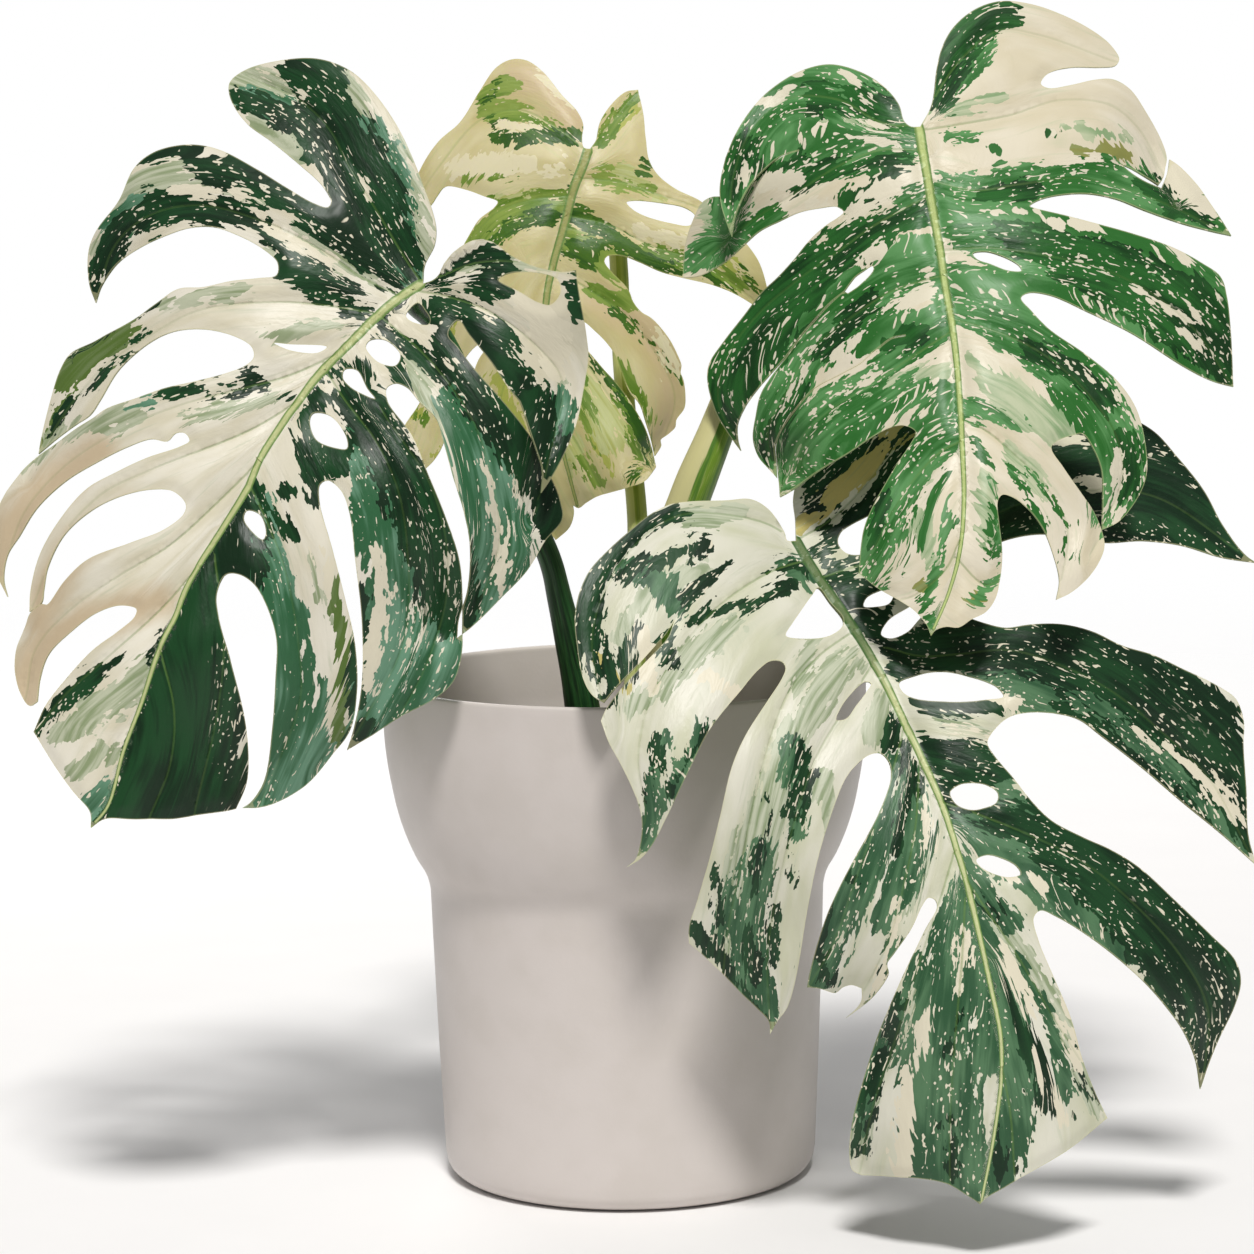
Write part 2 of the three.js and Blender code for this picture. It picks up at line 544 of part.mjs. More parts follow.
/** One leaf blade as a closed solid of even thickness with a rib under its midrib. */
function makeBlade(leaf) {
  const plate = bentPlate(readPoints(leaf.depths));
  const midrib = readPoints(leaf.midrib);
  const charts = [{ runs: leaf.outline, holes: leaf.holes, lift: () => 0 }];
  leaf.flaps.forEach((flap) => {
    const start = readPoints(flap.outline[0])[0];
    const end = readPoints(flap.outline[flap.outline.length - 1]).pop();
    const tips = flap.outline.flatMap(readPoints);
    const reach = Math.max(...tips.map((p) => segmentDistance(p, start, end)));
    const lift = (p) => flap.lift * smoothStep(segmentDistance(p, start, end) / reach);
    charts.push({ runs: flap.outline, holes: [], lift });
  });

  const drawn = [];
  const middle = [];
  const triangles = [];
  const rim = new Map();
  charts.forEach((chart, number) => {
    const edge = edgeOf(chart.runs);
    const outer = signedArea(edge) > 0 ? edge : edge.reverse();
    const holes = chart.holes.map((hole) => {
      const loop = smoothLine(readPoints(hole), true);
      return signedArea(loop) < 0 ? loop : loop.reverse();
    });
    const loops = [outer, ...holes];
    const flat = triangulate(loops, innerPoints(loops, midrib));
    const index = flat.points.map((p) => {
      const shared = number === 0 ? -1 : drawn.findIndex((q) => Math.hypot(q[0] - p[0], q[1] - p[1]) < 1e-4);
      if (shared >= 0) {
        return shared;
      }
      drawn.push(p);
      middle.push(placeInView(p[0], p[1], plate(p) + chart.lift(p)));
      return drawn.length - 1;
    });
    triangles.push(...flat.triangles.map((t) => t.map((v) => index[v])));
  });

  triangles.forEach((t) => {
    for (let k = 0; k < 3; k += 1) {
      const key = sideKey(t[k], t[(k + 1) % 3]);
      rim.set(key, rim.has(key) ? null : [t[k], t[(k + 1) % 3]]);
    }
  });
  const normals = middle.map(() => new THREE.Vector3());
  triangles.forEach(([a, b, c]) => {
    const n = new THREE.Vector3().subVectors(middle[c], middle[a])
      .cross(new THREE.Vector3().subVectors(middle[b], middle[a]));
    [a, b, c].forEach((v) => normals[v].add(n));
  });
  normals.forEach((n) => n.normalize());

  const ribReach = RIB_HALF_WIDTH / MM_PER_POINT;
  const ribEnd = lineDistance(midrib[midrib.length - 1], midrib).along;
  const positions = [];
  middle.forEach((p, i) => {
    positions.push(p.clone().addScaledVector(normals[i], BLADE_THICKNESS / 2));
  });
  middle.forEach((p, i) => {
    const near = lineDistance(drawn[i], midrib);
    const fade = smoothStep((near.along * MM_PER_POINT - RIB_START / 2) / RIB_START)
      * smoothStep((ribEnd - near.along) / (ribEnd * 0.25));
    const rib = RIB_HEIGHT * fade * (1 - smoothStep(near.distance / ribReach));
    positions.push(p.clone().addScaledVector(normals[i], -BLADE_THICKNESS / 2 - rib));
  });
  const count = middle.length;
  const faces = [];
  triangles.forEach(([a, b, c]) => {
    faces.push([a, c, b], [a + count, b + count, c + count]);
  });
  rim.forEach((side) => {
    if (side) {
      const [a, b] = side;
      faces.push([a, b, b + count], [a, b + count, a + count]);
    }
  });
  const underside = (x, y) => {
    const p = placeInView(x, y, plate([x, y]));
    const dx = placeInView(x + 4, y, plate([x + 4, y])).sub(p);
    const dy = placeInView(x, y + 4, plate([x, y + 4])).sub(p);
    return { place: p, normal: dy.cross(dx).normalize() };
  };
  return { geometry: facesToGeometry(positions, faces), underside };
}

/** How far behind `place` a round stalk end has to stop to keep the joint gap to the blade. */
function seatBehind(geometry, place, normal, radius) {
  const blade = new THREE.Mesh(geometry, new THREE.MeshStandardMaterial({ side: THREE.DoubleSide }));
  const start = 30;
  const across = new THREE.Vector3(0, 0, 1).cross(normal).normalize();
  const spots = [[0, 0]];
  for (let i = 0; i < 16; i += 1) {
    const turn = (i / 16) * Math.PI * 2;
    [0.5, 1, 1.25].forEach((share) => spots.push([turn, radius * share]));
  }
  const hits = spots.map(([turn, reach]) => {
    const from = place.clone().addScaledVector(normal, -start)
      .addScaledVector(across.clone().applyAxisAngle(normal, turn), reach);
    const [hit] = new THREE.Raycaster(from, normal).intersectObject(blade);
    return hit ? hit.distance : start;
  });
  return start - Math.min(...hits) + JOINT_GAP;
}

function facesToGeometry(positions, faces) {
  const geometry = new THREE.BufferGeometry();
  geometry.setAttribute('position', new THREE.Float32BufferAttribute(positions.flatMap((p) => [p.x, p.y, p.z]), 3));
  geometry.setIndex(faces.flat());
  geometry.computeVertexNormals();
  return geometry;
}

/** A stalk: an ExtrudeGeometry along a curve, then drawn in or out to the wanted radii. */
function makeStalk(places, radii) {
  const curve = new THREE.CatmullRomCurve3(places, false, 'centripetal');
  const shape = new THREE.Shape();
  shape.absarc(0, 0, 1, 0, Math.PI * 2, false);
  const geometry = new THREE.ExtrudeGeometry(shape, {
    steps: STALK_STEPS, curveSegments: STALK_SIDES / 2, extrudePath: curve, bevelEnabled: false,
  });
  const rings = [];
  for (let i = 0; i <= STALK_STEPS; i += 1) {
    rings.push(curve.getPointAt(i / STALK_STEPS));
  }
  const position = geometry.getAttribute('position');
  const point = new THREE.Vector3();
  for (let i = 0; i < position.count; i += 1) {
    point.fromBufferAttribute(position, i);
    let nearest = 0;
    rings.forEach((ring, k) => {
      nearest = ring.distanceTo(point) < rings[nearest].distanceTo(point) ? k : nearest;
    });
    const at = (nearest / STALK_STEPS) * (radii.length - 1);
    const from = Math.min(radii.length - 2, Math.floor(at));
    const radius = THREE.MathUtils.lerp(radii[from], radii[from + 1], at - from);
    point.sub(rings[nearest]).multiplyScalar(radius).add(rings[nearest]);
    position.setXYZ(i, point.x, point.y, point.z);
  }
  return geometry;
}

/** Outer half section of the pot from the underside to the rim, [radius, height]. */
function potOutside() {
  return [
    [64.5, 0], [69.6, 1.4], [72.8, 4.8], [74, 10], [75, 32], [76.2, 60], [77.3, 90], [78.1, 115.5], [78.9, 119.5],
    [80.5, 123.6], [83.4, 128.4], [87.6, 138], [90.6, 147.6], [92.6, 157], [94.2, 166.5], [95.1, 175],
    [RIM_RADIUS, 184], [RIM_RADIUS, POT_HEIGHT - 1.4], [RIM_RADIUS - 0.5, POT_HEIGHT - 0.4],
  ];
}

/** Inner half section of the pot from the rim down to its floor. */
function potInside() {
  const inner = potOutside().slice(3, 18).reverse().map(([r, h]) => [r - POT_WALL, h]);
  return [[RIM_RADIUS - POT_WALL + 0.5, POT_HEIGHT - 0.4], ...inner.slice(0, -1), [70.9, 14], [66, POT_FLOOR]];
}

function latheOf(section, segments) {
  return new THREE.LatheGeometry(section.map(([r, h]) => new THREE.Vector2(r, h)), segments)
    .rotateX(Math.PI / 2);
}

function makePot() {
  const top = [[RIM_RADIUS - 1.4, POT_HEIGHT], [RIM_RADIUS - POT_WALL + 1.4, POT_HEIGHT]];
  return latheOf([[0, 0], ...potOutside(), ...top, ...potInside(), [0, POT_FLOOR]], POT_SEGMENTS);
}

/** A closed mesh as a solid that can be joined and cut. */
function toSolid(wasm, geometry) {
  const bare = geometry.clone();
  bare.deleteAttribute('normal');
  bare.deleteAttribute('uv');
  const merged = mergeVertices(bare, 1e-4);
  return new wasm.Manifold(new wasm.Mesh({
    numProp: 3,
    vertProperties: Float32Array.from(merged.getAttribute('position').array),
    triVerts: Uint32Array.from(merged.getIndex().array),
  }));
}

function fromSolid(solid) {
  const mesh = solid.getMesh();
  const geometry = new THREE.BufferGeometry();
  geometry.setAttribute('position', new THREE.Float32BufferAttribute(mesh.vertProperties, 3));
  geometry.setIndex(Array.from(mesh.triVerts));
  geometry.computeVertexNormals();
  return geometry;
}

/** Soil with a slightly lumpy top and a plain round hole for every stalk. */
function makeSoil(wasm, stalks) {
  const wall = potInside().filter(([, h]) => h < SOIL_TOP - 2).reverse().map(([r, h]) => [r - SOIL_GAP, h]);
  wall[0][1] += SOIL_GAP;
  const brim = wall[wall.length - 1][0] + 1.2;
  const rings = [1, 0.9, 0.76, 0.6, 0.42, 0.22].map((share) => [brim * share, SOIL_TOP - 1]);
  const body = latheOf([[0, POT_FLOOR + SOIL_GAP], ...wall, ...rings, [0, SOIL_TOP - 1]], 40);
  const position = body.getAttribute('position');
  for (let i = 0; i < position.count; i += 1) {
    const [x, y, z] = [position.getX(i), position.getY(i), position.getZ(i)];
    if (Math.abs(z - SOIL_TOP + 1) < 1e-3) {
      const wave = Math.sin(x * 0.21 + 1.3) * Math.cos(y * 0.17 + 0.4) + Math.sin((x - y) * 0.11);
      position.setZ(i, z + wave * SOIL_LUMP * 0.5);
    }
  }
  let solid = toSolid(wasm, body);
  stalks.forEach(({ x, y, radius }) => {
    const height = SOCKET_DEPTH + SOIL_LUMP * 4;
    const socket = new THREE.CylinderGeometry(radius + JOINT_GAP, radius + JOINT_GAP, height, 16)
      .rotateX(Math.PI / 2)
      .translate(x, y, SOIL_TOP - SOCKET_DEPTH - JOINT_GAP + height / 2);
    solid = solid.subtract(toSolid(wasm, socket));
  });
  return fromSolid(solid);
}

// Stalks: foot in the soil, then the way up as photo points with their depth, then the blade.
const STALKS = [
  {
    name: 'petiole_a', blade: 'leaf_a', joint: [411, 293], x: -15, y: -6, foot: 6.6, radii: [4.6, 4.2, 3.8, 3.2],
    color: 0x23502f, way: '580,692,14 569,640,18 560,600,20 549,557,22 512,480,22 474,400,22 442,334,22',
  },
  {
    name: 'petiole_b', blade: 'leaf_b', joint: [586, 159], x: 4, y: 17, foot: 6.0, radii: [4.2, 4.0, 3.8, 3.2],
    color: 0x8ea23c, way: '641,640,-36 639,560,-58 636,500,-76 627,420,-94 621,340,-107 619,270,-116 612,210,-121',
  },
  {
    name: 'petiole_c', blade: 'leaf_c', joint: [921, 140], x: 20, y: 8, foot: 8, radii: [8.6, 8, 6, 5, 4.2, 3.3],
    color: 0x86a04a, way: '664,580,6 689,500,8 713,440,4 752,345,-8 790,302,-10 838,255,-12 884,205,-10',
  },
  {
    name: 'petiole_d', blade: 'leaf_d', joint: [803, 554], x: 9, y: -15, foot: 6.0, radii: [4.8, 4.4, 4.0, 3.3],
    color: 0x2c5a31, way: '668,662,26 700,632,32 738,600,34 768,574,34',
  },
];
const STEM = { x: -1, y: 1, radius: 7.6, rise: 14 };

const wasm = await Module();
wasm.setup();

const plant = new THREE.Group();

function addPiece(name, geometry, color, roughness) {
  const material = new THREE.MeshStandardMaterial({ color, roughness, metalness: 0 });
  const mesh = new THREE.Mesh(geometry, material);
  mesh.name = name;
  plant.add(mesh);
}

const blades = new Map(LEAVES.map((leaf) => [leaf.name, { ...makeBlade(leaf), color: leaf.color }]));
addPiece('pot', makePot(), 0xe6e2e0, 0.55);
addPiece('soil', makeSoil(wasm, [...STALKS.map((s) => ({ x: s.x, y: s.y, radius: s.foot })), STEM]), 0x35271d, 0.95);

const stemLength = SOCKET_DEPTH + STEM.rise;
const stemBody = new THREE.CylinderGeometry(STEM.radius * 0.8, STEM.radius, stemLength, 20)
  .rotateX(Math.PI / 2)
  .translate(STEM.x, STEM.y, SOIL_TOP - SOCKET_DEPTH + stemLength / 2);
addPiece('stem', stemBody, 0x5f6b3a, 0.7);

STALKS.forEach((stalk) => {
  const blade = blades.get(stalk.blade);
  const { place, normal } = blade.underside(...stalk.joint);
  const back = seatBehind(blade.geometry, place, normal, stalk.radii[stalk.radii.length - 1]);
  const foot = new THREE.Vector3(stalk.x, stalk.y, SOIL_TOP - SOCKET_DEPTH);
  const places = [
    foot,
    foot.clone().setZ(SOIL_TOP - SOCKET_DEPTH / 2),
    foot.clone().setZ(SOIL_TOP),
    foot.clone().setZ(SOIL_TOP + 12),
    ...readPoints(stalk.way).map((p) => placeInView(...p)),
    place.clone().addScaledVector(normal, -back - 9),
    place.clone().addScaledVector(normal, -back),
  ];
  addPiece(stalk.name, makeStalk(places, [stalk.foot, stalk.foot, ...stalk.radii]), stalk.color, 0.45);
});

blades.forEach((blade, name) => addPiece(name, blade.geometry, blade.color, 0.4));

export default plant;
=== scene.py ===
"""Looks of a potted variegated monstera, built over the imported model.

The plant stands in a white two-step pot. Four cut leaves rise on bent stalks from one short stem.
Lengths are millimetres until a mesh is made, and Blender's metres after that. The leaf outlines,
veins and markings are drawn in photo points (the photograph's pixels, x right and y down), and
Viewpoint turns a drawn point and a depth toward the viewer into a place in space.
"""

import logging
import math
from dataclasses import dataclass, field
from enum import Enum
from functools import partial
from typing import NamedTuple

import bpy
import numpy as np
from bpy.types import Material, Mesh, Node, NodeSocket, NodeTree
from mathutils import Matrix, Vector, noise
from mathutils.geometry import delaunay_2d_cdt

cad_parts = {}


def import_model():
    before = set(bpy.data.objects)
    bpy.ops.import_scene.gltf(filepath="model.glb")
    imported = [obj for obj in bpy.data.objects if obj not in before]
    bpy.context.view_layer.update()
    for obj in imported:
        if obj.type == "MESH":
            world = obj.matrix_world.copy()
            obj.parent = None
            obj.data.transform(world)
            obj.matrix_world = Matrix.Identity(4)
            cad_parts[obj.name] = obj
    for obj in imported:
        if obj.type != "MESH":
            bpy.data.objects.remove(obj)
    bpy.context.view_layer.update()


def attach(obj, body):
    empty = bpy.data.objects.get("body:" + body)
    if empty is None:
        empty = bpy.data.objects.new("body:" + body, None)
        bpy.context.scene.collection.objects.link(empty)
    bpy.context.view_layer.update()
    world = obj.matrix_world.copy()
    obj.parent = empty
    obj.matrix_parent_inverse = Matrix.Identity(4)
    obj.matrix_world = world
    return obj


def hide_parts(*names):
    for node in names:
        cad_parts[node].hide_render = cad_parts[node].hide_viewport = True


LOG = logging.getLogger("plant")
MM = 0.001
EASED = {"interpolation_type": "SMOOTHSTEP"}


def to_linear(code: str) -> tuple[float, float, float, float]:
    """Turns an sRGB hex colour into linear red, green, blue and alpha.

    Args:
        code: six hex digits, such as "e6ddcb".

    Returns:
        The linear colour with alpha 1.
    """
    values = [int(code[i:i + 2], 16) / 255 for i in (0, 2, 4)]
    linear = [v / 12.92 if v <= 0.04045 else ((v + 0.055) / 1.055) ** 2.4 for v in values]
    return (linear[0], linear[1], linear[2], 1.0)


def read_points(text: str) -> np.ndarray:
    """Reads "x,y x,y ..." (or more numbers a point) into rows of numbers."""
    return np.array([[float(v) for v in pair.split(",")] for pair in text.split()])


def smooth_step(values: np.ndarray | float) -> np.ndarray:
    """Eases values from 0 to 1, flat at both ends."""
    held = np.clip(values, 0.0, 1.0)
    return held * held * (3.0 - 2.0 * held)


def add_node(tree: NodeTree, kind: str, inputs: dict | tuple = (),
             output: int | str | None = None, **settings: object) -> Node | NodeSocket:
    """Adds one node with its settings, and sets or links its inputs.

    Args:
        tree: the node tree that gets the node.
        kind: the node's type name after "ShaderNode".
        inputs: values or feeding sockets, in the inputs' order or by input name or number.
        output: name or number of an output, if that is wanted and not the node.
        settings: properties of the node.

    Returns:
        The new node, or its output's socket.
    """
    node = tree.nodes.new("ShaderNode" + kind)
    for key, value in settings.items():
        setattr(node, key, value)
    feed(node, inputs if isinstance(inputs, dict) else dict(enumerate(inputs)))
    return node if output is None else node.outputs[output]


def feed(node: Node, inputs: dict) -> None:
    """Sets or links a node's inputs.

    Args:
        node: the node.
        inputs: input name or number to a value, or to the socket that feeds it.
    """
    for key, value in inputs.items():
        if isinstance(value, NodeSocket):
            node.id_data.links.new(value, node.inputs[key])
        else:
            node.inputs[key].default_value = value


class Finish:
    """A node material being made, whose patterns read like formulas."""

    def __init__(self, name: str) -> None:
        """Starts the material with its Principled shader, joined to the output.

        Args:
            name: the material's name.
        """
        self.material = bpy.data.materials.new(name)
        self.material.use_nodes = True
        self.tree = self.material.node_tree
        self.tree.nodes.clear()
        self.shader = add_node(self.tree, "BsdfPrincipled")
        add_node(self.tree, "OutputMaterial", {"Surface": self.shader.outputs["BSDF"]})
        self.add = partial(add_node, self.tree, output=0)

    def place(self) -> NodeSocket:
        """The place on the piece, in millimetres."""
        metres = self.add("TexCoord", output="Object")
        return self.add("VectorMath", (metres, (1 / MM,) * 3), operation="MULTIPLY")

    def lumps(self, place: NodeSocket, sizes: tuple[float, ...],
              detail: float = 2.0, shift: float = 0.0) -> NodeSocket:
        """Noise about 0.5 whose lumps have the given size along each axis.

        Args:
            place: the coordinate's socket, in the same unit as the sizes.
            sizes: lump size along the coordinate's three axes.
            detail: octaves of finer noise.
            shift: moves the pattern, so that two noises differ.

        Returns:
            The noise value's socket.
        """
        scaled = self.add("VectorMath", (place, tuple(1.0 / size for size in sizes),
                                         (shift, shift * 1.7, shift * 0.6)),
                          operation="MULTIPLY_ADD")
        return self.add("TexNoise", {"Vector": scaled, "Scale": 1.0, "Detail": detail},
                        output="Fac")

    def layered(self, ground: object, *layers: tuple[object, object]) -> NodeSocket:
        """Lays colours over each other.

        Args:
            ground: the lowest colour, as hex digits or a socket.
            layers: share and colour of each layer, from the lowest to the highest.

        Returns:
            The colour's socket.
        """
        colour = ground
        for share, over in layers:
            below, above = (to_linear(c) if isinstance(c, str) else c for c in (colour, over))
            colour = self.add("Mix", {0: share, 6: below, 7: above}, output=2,
                              data_type="RGBA")
        return colour


def store(mesh: Mesh, name: str, values: np.ndarray | list) -> None:
    """Keeps a number or a vector for each point of a mesh, for its finish to read.

    Args:
        mesh: the mesh.
        name: the name that the finish reads.
        values: a number or three a point.
    """
    rows = np.asarray(values, np.float32)
    kind, key = ("FLOAT", "value") if rows.ndim == 1 else ("FLOAT_VECTOR", "vector")
    mesh.attributes.new(name, kind, "POINT").data.foreach_set(key, rows.ravel())


@dataclass(frozen=True)
class Viewpoint:
    """The photograph's viewing point, worked out from the pot's rim, collar and foot."""

    focal: float = 4017.0
    frame_size: float = 1254.0
    sensor: float = 36.0
    place: tuple[float, float, float] = (1.4, -1575.0, 416.0)
    pitch: float = math.radians(7.15)
    roll: float = math.radians(0.78)

    def axes(self) -> tuple[np.ndarray, np.ndarray, np.ndarray]:
        """The view's directions.

        Returns:
            Right, up and ahead, each of length 1.
        """
        ahead = np.array([0.0, math.cos(self.pitch), -math.sin(self.pitch)])
        flat_up = np.array([0.0, math.sin(self.pitch), math.cos(self.pitch)])
        flat_right = np.array([1.0, 0.0, 0.0])
        right = flat_right * math.cos(self.roll) - flat_up * math.sin(self.roll)
        up = flat_up * math.cos(self.roll) + flat_right * math.sin(self.roll)
        return right, up, ahead

    def spot(self, drawn: np.ndarray, toward: np.ndarray) -> np.ndarray:
        """Places drawn points in space.

        Args:
            drawn: rows of photo points.
            toward: how far each lies in front of the pot's axis, in millimetres.

        Returns:
            Rows of x, y and z in millimetres.
        """
        right, up, ahead = self.axes()
        middle = self.frame_size / 2
        ray = (ahead * self.focal + np.outer(drawn[:, 0] - middle, right)
               + np.outer(middle - drawn[:, 1], up))
        origin = np.array(self.place)
        reach = (-toward - origin[1]) / ray[:, 1]
        return origin + ray * reach[:, None]

    def build_camera(self) -> None:
        """Makes the camera at the viewing point."""
        data = bpy.data.cameras.new("view")
        data.sensor_width = self.sensor
        data.lens = self.focal / self.frame_size * self.sensor
        data.clip_start = 0.05
        right, up, ahead = self.axes()
        turn = Matrix([(right[i], up[i], -ahead[i]) for i in range(3)]).to_4x4()
        camera = bpy.data.objects.new("view", data)
        camera.matrix_world = Matrix.Translation(Vector(self.place) * MM) @ turn
        bpy.context.collection.objects.link(camera)
        bpy.context.scene.camera = camera


VIEW = Viewpoint()


@dataclass(frozen=True)
class SeamlessPaper:
    """White background paper, machine made and matt.

    It gives no highlight at all, only the plant's soft shadow. Its fibre is far too fine to show:
    a faint mottle of 60 mm keeps the sheet from looking like a computed plane.
    """

    name: str = "white seamless paper"
    white: str = "f3f2f2"
    shade: str = "efeeee"
    mottle_m: float = 0.06
    roughness: float = 0.9

    def make(self, half: float) -> Material:
        """Builds the paper, which fades out toward its border.

        Args:
            half: half the sheet's side, in metres.

        Returns:
            The material.
        """
        finish = Finish(self.name)
        place = finish.add("TexCoord", output="Object")
        mottle = finish.lumps(place, (self.mottle_m,) * 3, 3.0)
        reach = finish.add("VectorMath", (place,), output=1, operation="LENGTH")
        feed(finish.shader, {
            "Base Color": finish.layered(self.shade, (mottle, self.white)),
            "Alpha": finish.add("MapRange", (reach, half * 0.9, half * 0.2), **EASED),
            "Roughness": self.roughness,
        })
        return finish.material


class Lamp(NamedTuple):
    """A light: where it hangs and points, in metres, its width and its power.

    The width is a panel's side in metres, or the sun's width in degrees. The power is a panel's
    watts, or the sun's watts a square metre.
    """

    name: str
    kind: str
    place: tuple[float, float, float]
    target: tuple[float, float, float]
    width: float
    power: float
    tint: str


@dataclass
class Studio:
    """A plain pale floor and soft light from high in front, as over a white sweep."""

    floor_reach: float = 2.4
    sky: float = 0.22
    lamps: tuple[Lamp, ...] = (
        Lamp("key", "SUN", (0.08, -1.06, 1.9), (0.0, 0.0, 0.2), 12.0, 2.8, "fffdfa"),
        Lamp("back", "AREA", (-0.5, 1.5, 1.2), (0.0, 0.0, 0.3), 0.9, 8.0, "ffffff"),
    )
    paper: SeamlessPaper = SeamlessPaper()

    def build_floor(self) -> None:
        """Lays a sheet of white paper whose border fades into the surround."""
        half = self.floor_reach
        mesh = bpy.data.meshes.new("floor")
        mesh.from_pydata([(-half, -half, 0), (half, -half, 0), (half, half, 0), (-half, half, 0)],
                         [], [(0, 1, 2, 3)])
        floor = bpy.data.objects.new("floor", mesh)
        bpy.context.collection.objects.link(floor)
        mesh.materials.append(self.paper.make(half))

    def hang(self, lamp: Lamp) -> None:
        """Hangs one soft light.

        Args:
            lamp: the light.
        """
        data = bpy.data.lights.new(lamp.name, lamp.kind)
        if lamp.kind == "SUN":
            data.angle = math.radians(lamp.width)
        else:
            data.size = lamp.width
        data.energy = lamp.power
        data.color = to_linear(lamp.tint)[:3]
        light = bpy.data.objects.new(lamp.name, data)
        light.location = lamp.place
        aim = Vector(lamp.target) - Vector(lamp.place)
        light.rotation_euler = aim.to_track_quat("-Z", "Y").to_euler()
        bpy.context.collection.objects.link(light)

    def build_sky(self) -> None:
        """A white surround that looks full white and lights the plant more gently."""
        world = bpy.data.worlds.new("white surround")
        world.use_nodes = True
        tree = world.node_tree
        tree.nodes.clear()
        seen = add_node(tree, "LightPath", output="Is Camera Ray")
        strength = add_node(tree, "MapRange", {"Value": seen, "To Min": self.sky, "To Max": 1.0},
                            output="Result")
        glow = add_node(tree, "Background", {"Color": to_linear("ffffff"), "Strength": strength},
                        output=0)
        add_node(tree, "OutputWorld", {"Surface": glow})
        bpy.context.scene.world = world

    def build(self) -> None:
        """Builds floor, surround and lights."""
        self.build_floor()
        self.build_sky()
        for lamp in self.lamps:
            self.hang(lamp)
        bpy.context.scene.view_settings.view_transform = "Standard"


def finish_piece(name: str, mesh: Mesh, material: Material, node: str) -> None:
    """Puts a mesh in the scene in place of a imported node.

    Args:
        name: the piece's name.
        mesh: its mesh, in metres.
        material: its finish.
        node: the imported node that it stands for.
    """
    piece = bpy.data.objects.new(name, mesh)
    bpy.context.collection.objects.link(piece)
    mesh.materials.clear()
    mesh.materials.append(material)
    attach(piece, "root")
    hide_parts(node)
    LOG.info("%s: %d faces", name, len(mesh.polygons))


def revolve(name: str, section: list, segments: int) -> Mesh:
    """Turns a half section about the upright axis.

    Args:
        name: the mesh's name.
        section: radius and height of each point, in millimetres; it starts and ends on the axis.
        segments: faces round the axis.

    Returns:
        The closed mesh, in metres.
    """
    points: list[tuple[float, float, float]] = []
    rows: list[list[int]] = []
    for radius, height in section:
        count = 1 if radius < 1e-6 else segments
        rows.append(list(range(len(points), len(points) + count)))
        for k in range(count):
            turn = 2 * math.pi * k / segments
            points.append((radius * math.cos(turn) * MM, radius * math.sin(turn) * MM, height * MM))
    faces = []
    for low, high in zip(rows, rows[1:]):
        for k in range(segments):
            n = (k + 1) % segments
            ring = [low[k % len(low)], low[n % len(low)], high[n % len(high)], high[k % len(high)]]
            faces.append(list(dict.fromkeys(ring)))
    mesh = bpy.data.meshes.new(name)
    mesh.from_pydata(points, [], faces)
    mesh.shade_smooth()
    return mesh


def smooth_run(points: np.ndarray, step: float, closed: bool = False) -> np.ndarray:
    """A centripetal curve through the points, as sides of about `step`.

    Args:
        points: rows of any number of coordinates, at least two rows.
        step: longest side wanted.
        closed: whether the curve goes back to its first point, which isn't given twice.

    Returns:
        Rows along the curve, from the first point to the last.
    """
    if len(points) < 3:
        count = max(1, math.ceil(np.linalg.norm(points[1] - points[0]) / step))
        share = np.linspace(0, 1, count + 1)[:, None]
        return points[0] + (points[1] - points[0]) * share
    if closed:
        padded = np.vstack([points[-1], points, points[0], points[1]])
    else:
        padded = np.vstack([2 * points[0] - points[1], points, 2 * points[-1] - points[-2]])
    line = [points[0]]
    for a, b, c, d in zip(padded, padded[1:], padded[2:], padded[3:]):
        gaps = [max(np.sqrt(np.linalg.norm(q - p)), 1e-3) for p, q in ((a, b), (b, c), (c, d))]
        start = ((b - a) / gaps[0] - (c - a) / (gaps[0] + gaps[1]) + (c - b) / gaps[1]) * gaps[1]
        end = ((c - b) / gaps[1] - (d - b) / (gaps[1] + gaps[2]) + (d - c) / gaps[2]) * gaps[1]
        count = max(1, math.ceil(np.linalg.norm(c - b) / step))
        for k in range(1, count + 1):
            t = k / count
            line.append(b * (2 * t**3 - 3 * t**2 + 1) + start * (t**3 - 2 * t**2 + t)
                        + c * (3 * t**2 - 2 * t**3) + end * (t**3 - t**2))
    return np.array(line[:-1] if closed else line)


@dataclass(frozen=True)
class MattGlazedEarthenware:
    """Slip-cast earthenware under a matt white glaze.

    The matt glaze spreads each highlight wide and soft, and it pools a little, which gives the
    white a faint warm mottle.
    """

    name: str = "earthenware, slip cast, matt white glaze"
    white: str = "d4ccc7"
    pooled: str = "cfc7c1"
    roughness: float = 0.42
    grain_share: float = 0.12
    mottle_mm: float = 22.0
    grain_mm: float = 1.6

    def make(self) -> Material:
        """Builds the glaze.

        Returns:
            The material.
        """
        finish = Finish(self.name)
        add, place = finish.add, finish.place()
        mottle = finish.lumps(place, (self.mottle_mm,) * 3, 3.0)
        share = add("MapRange", (mottle, 0.35, 0.75), **EASED)
        # Real glaze grain is a few tenths of a millimetre: drawn at 1.6 mm so that it shows.
        grain = finish.lumps(place, (self.grain_mm,) * 3, 2.0, 4.0)
        low = self.roughness - self.grain_share / 2
        feed(finish.shader, {
            "Base Color": finish.layered(self.white, (share, self.pooled)),
            "Roughness": add("Math", (grain, self.grain_share, low), operation="MULTIPLY_ADD"),
            "Normal": add("Bump", {"Strength": 0.12, "Distance": 0.0004, "Height": grain}),
            "IOR": 1.5,
        })
        return finish.material


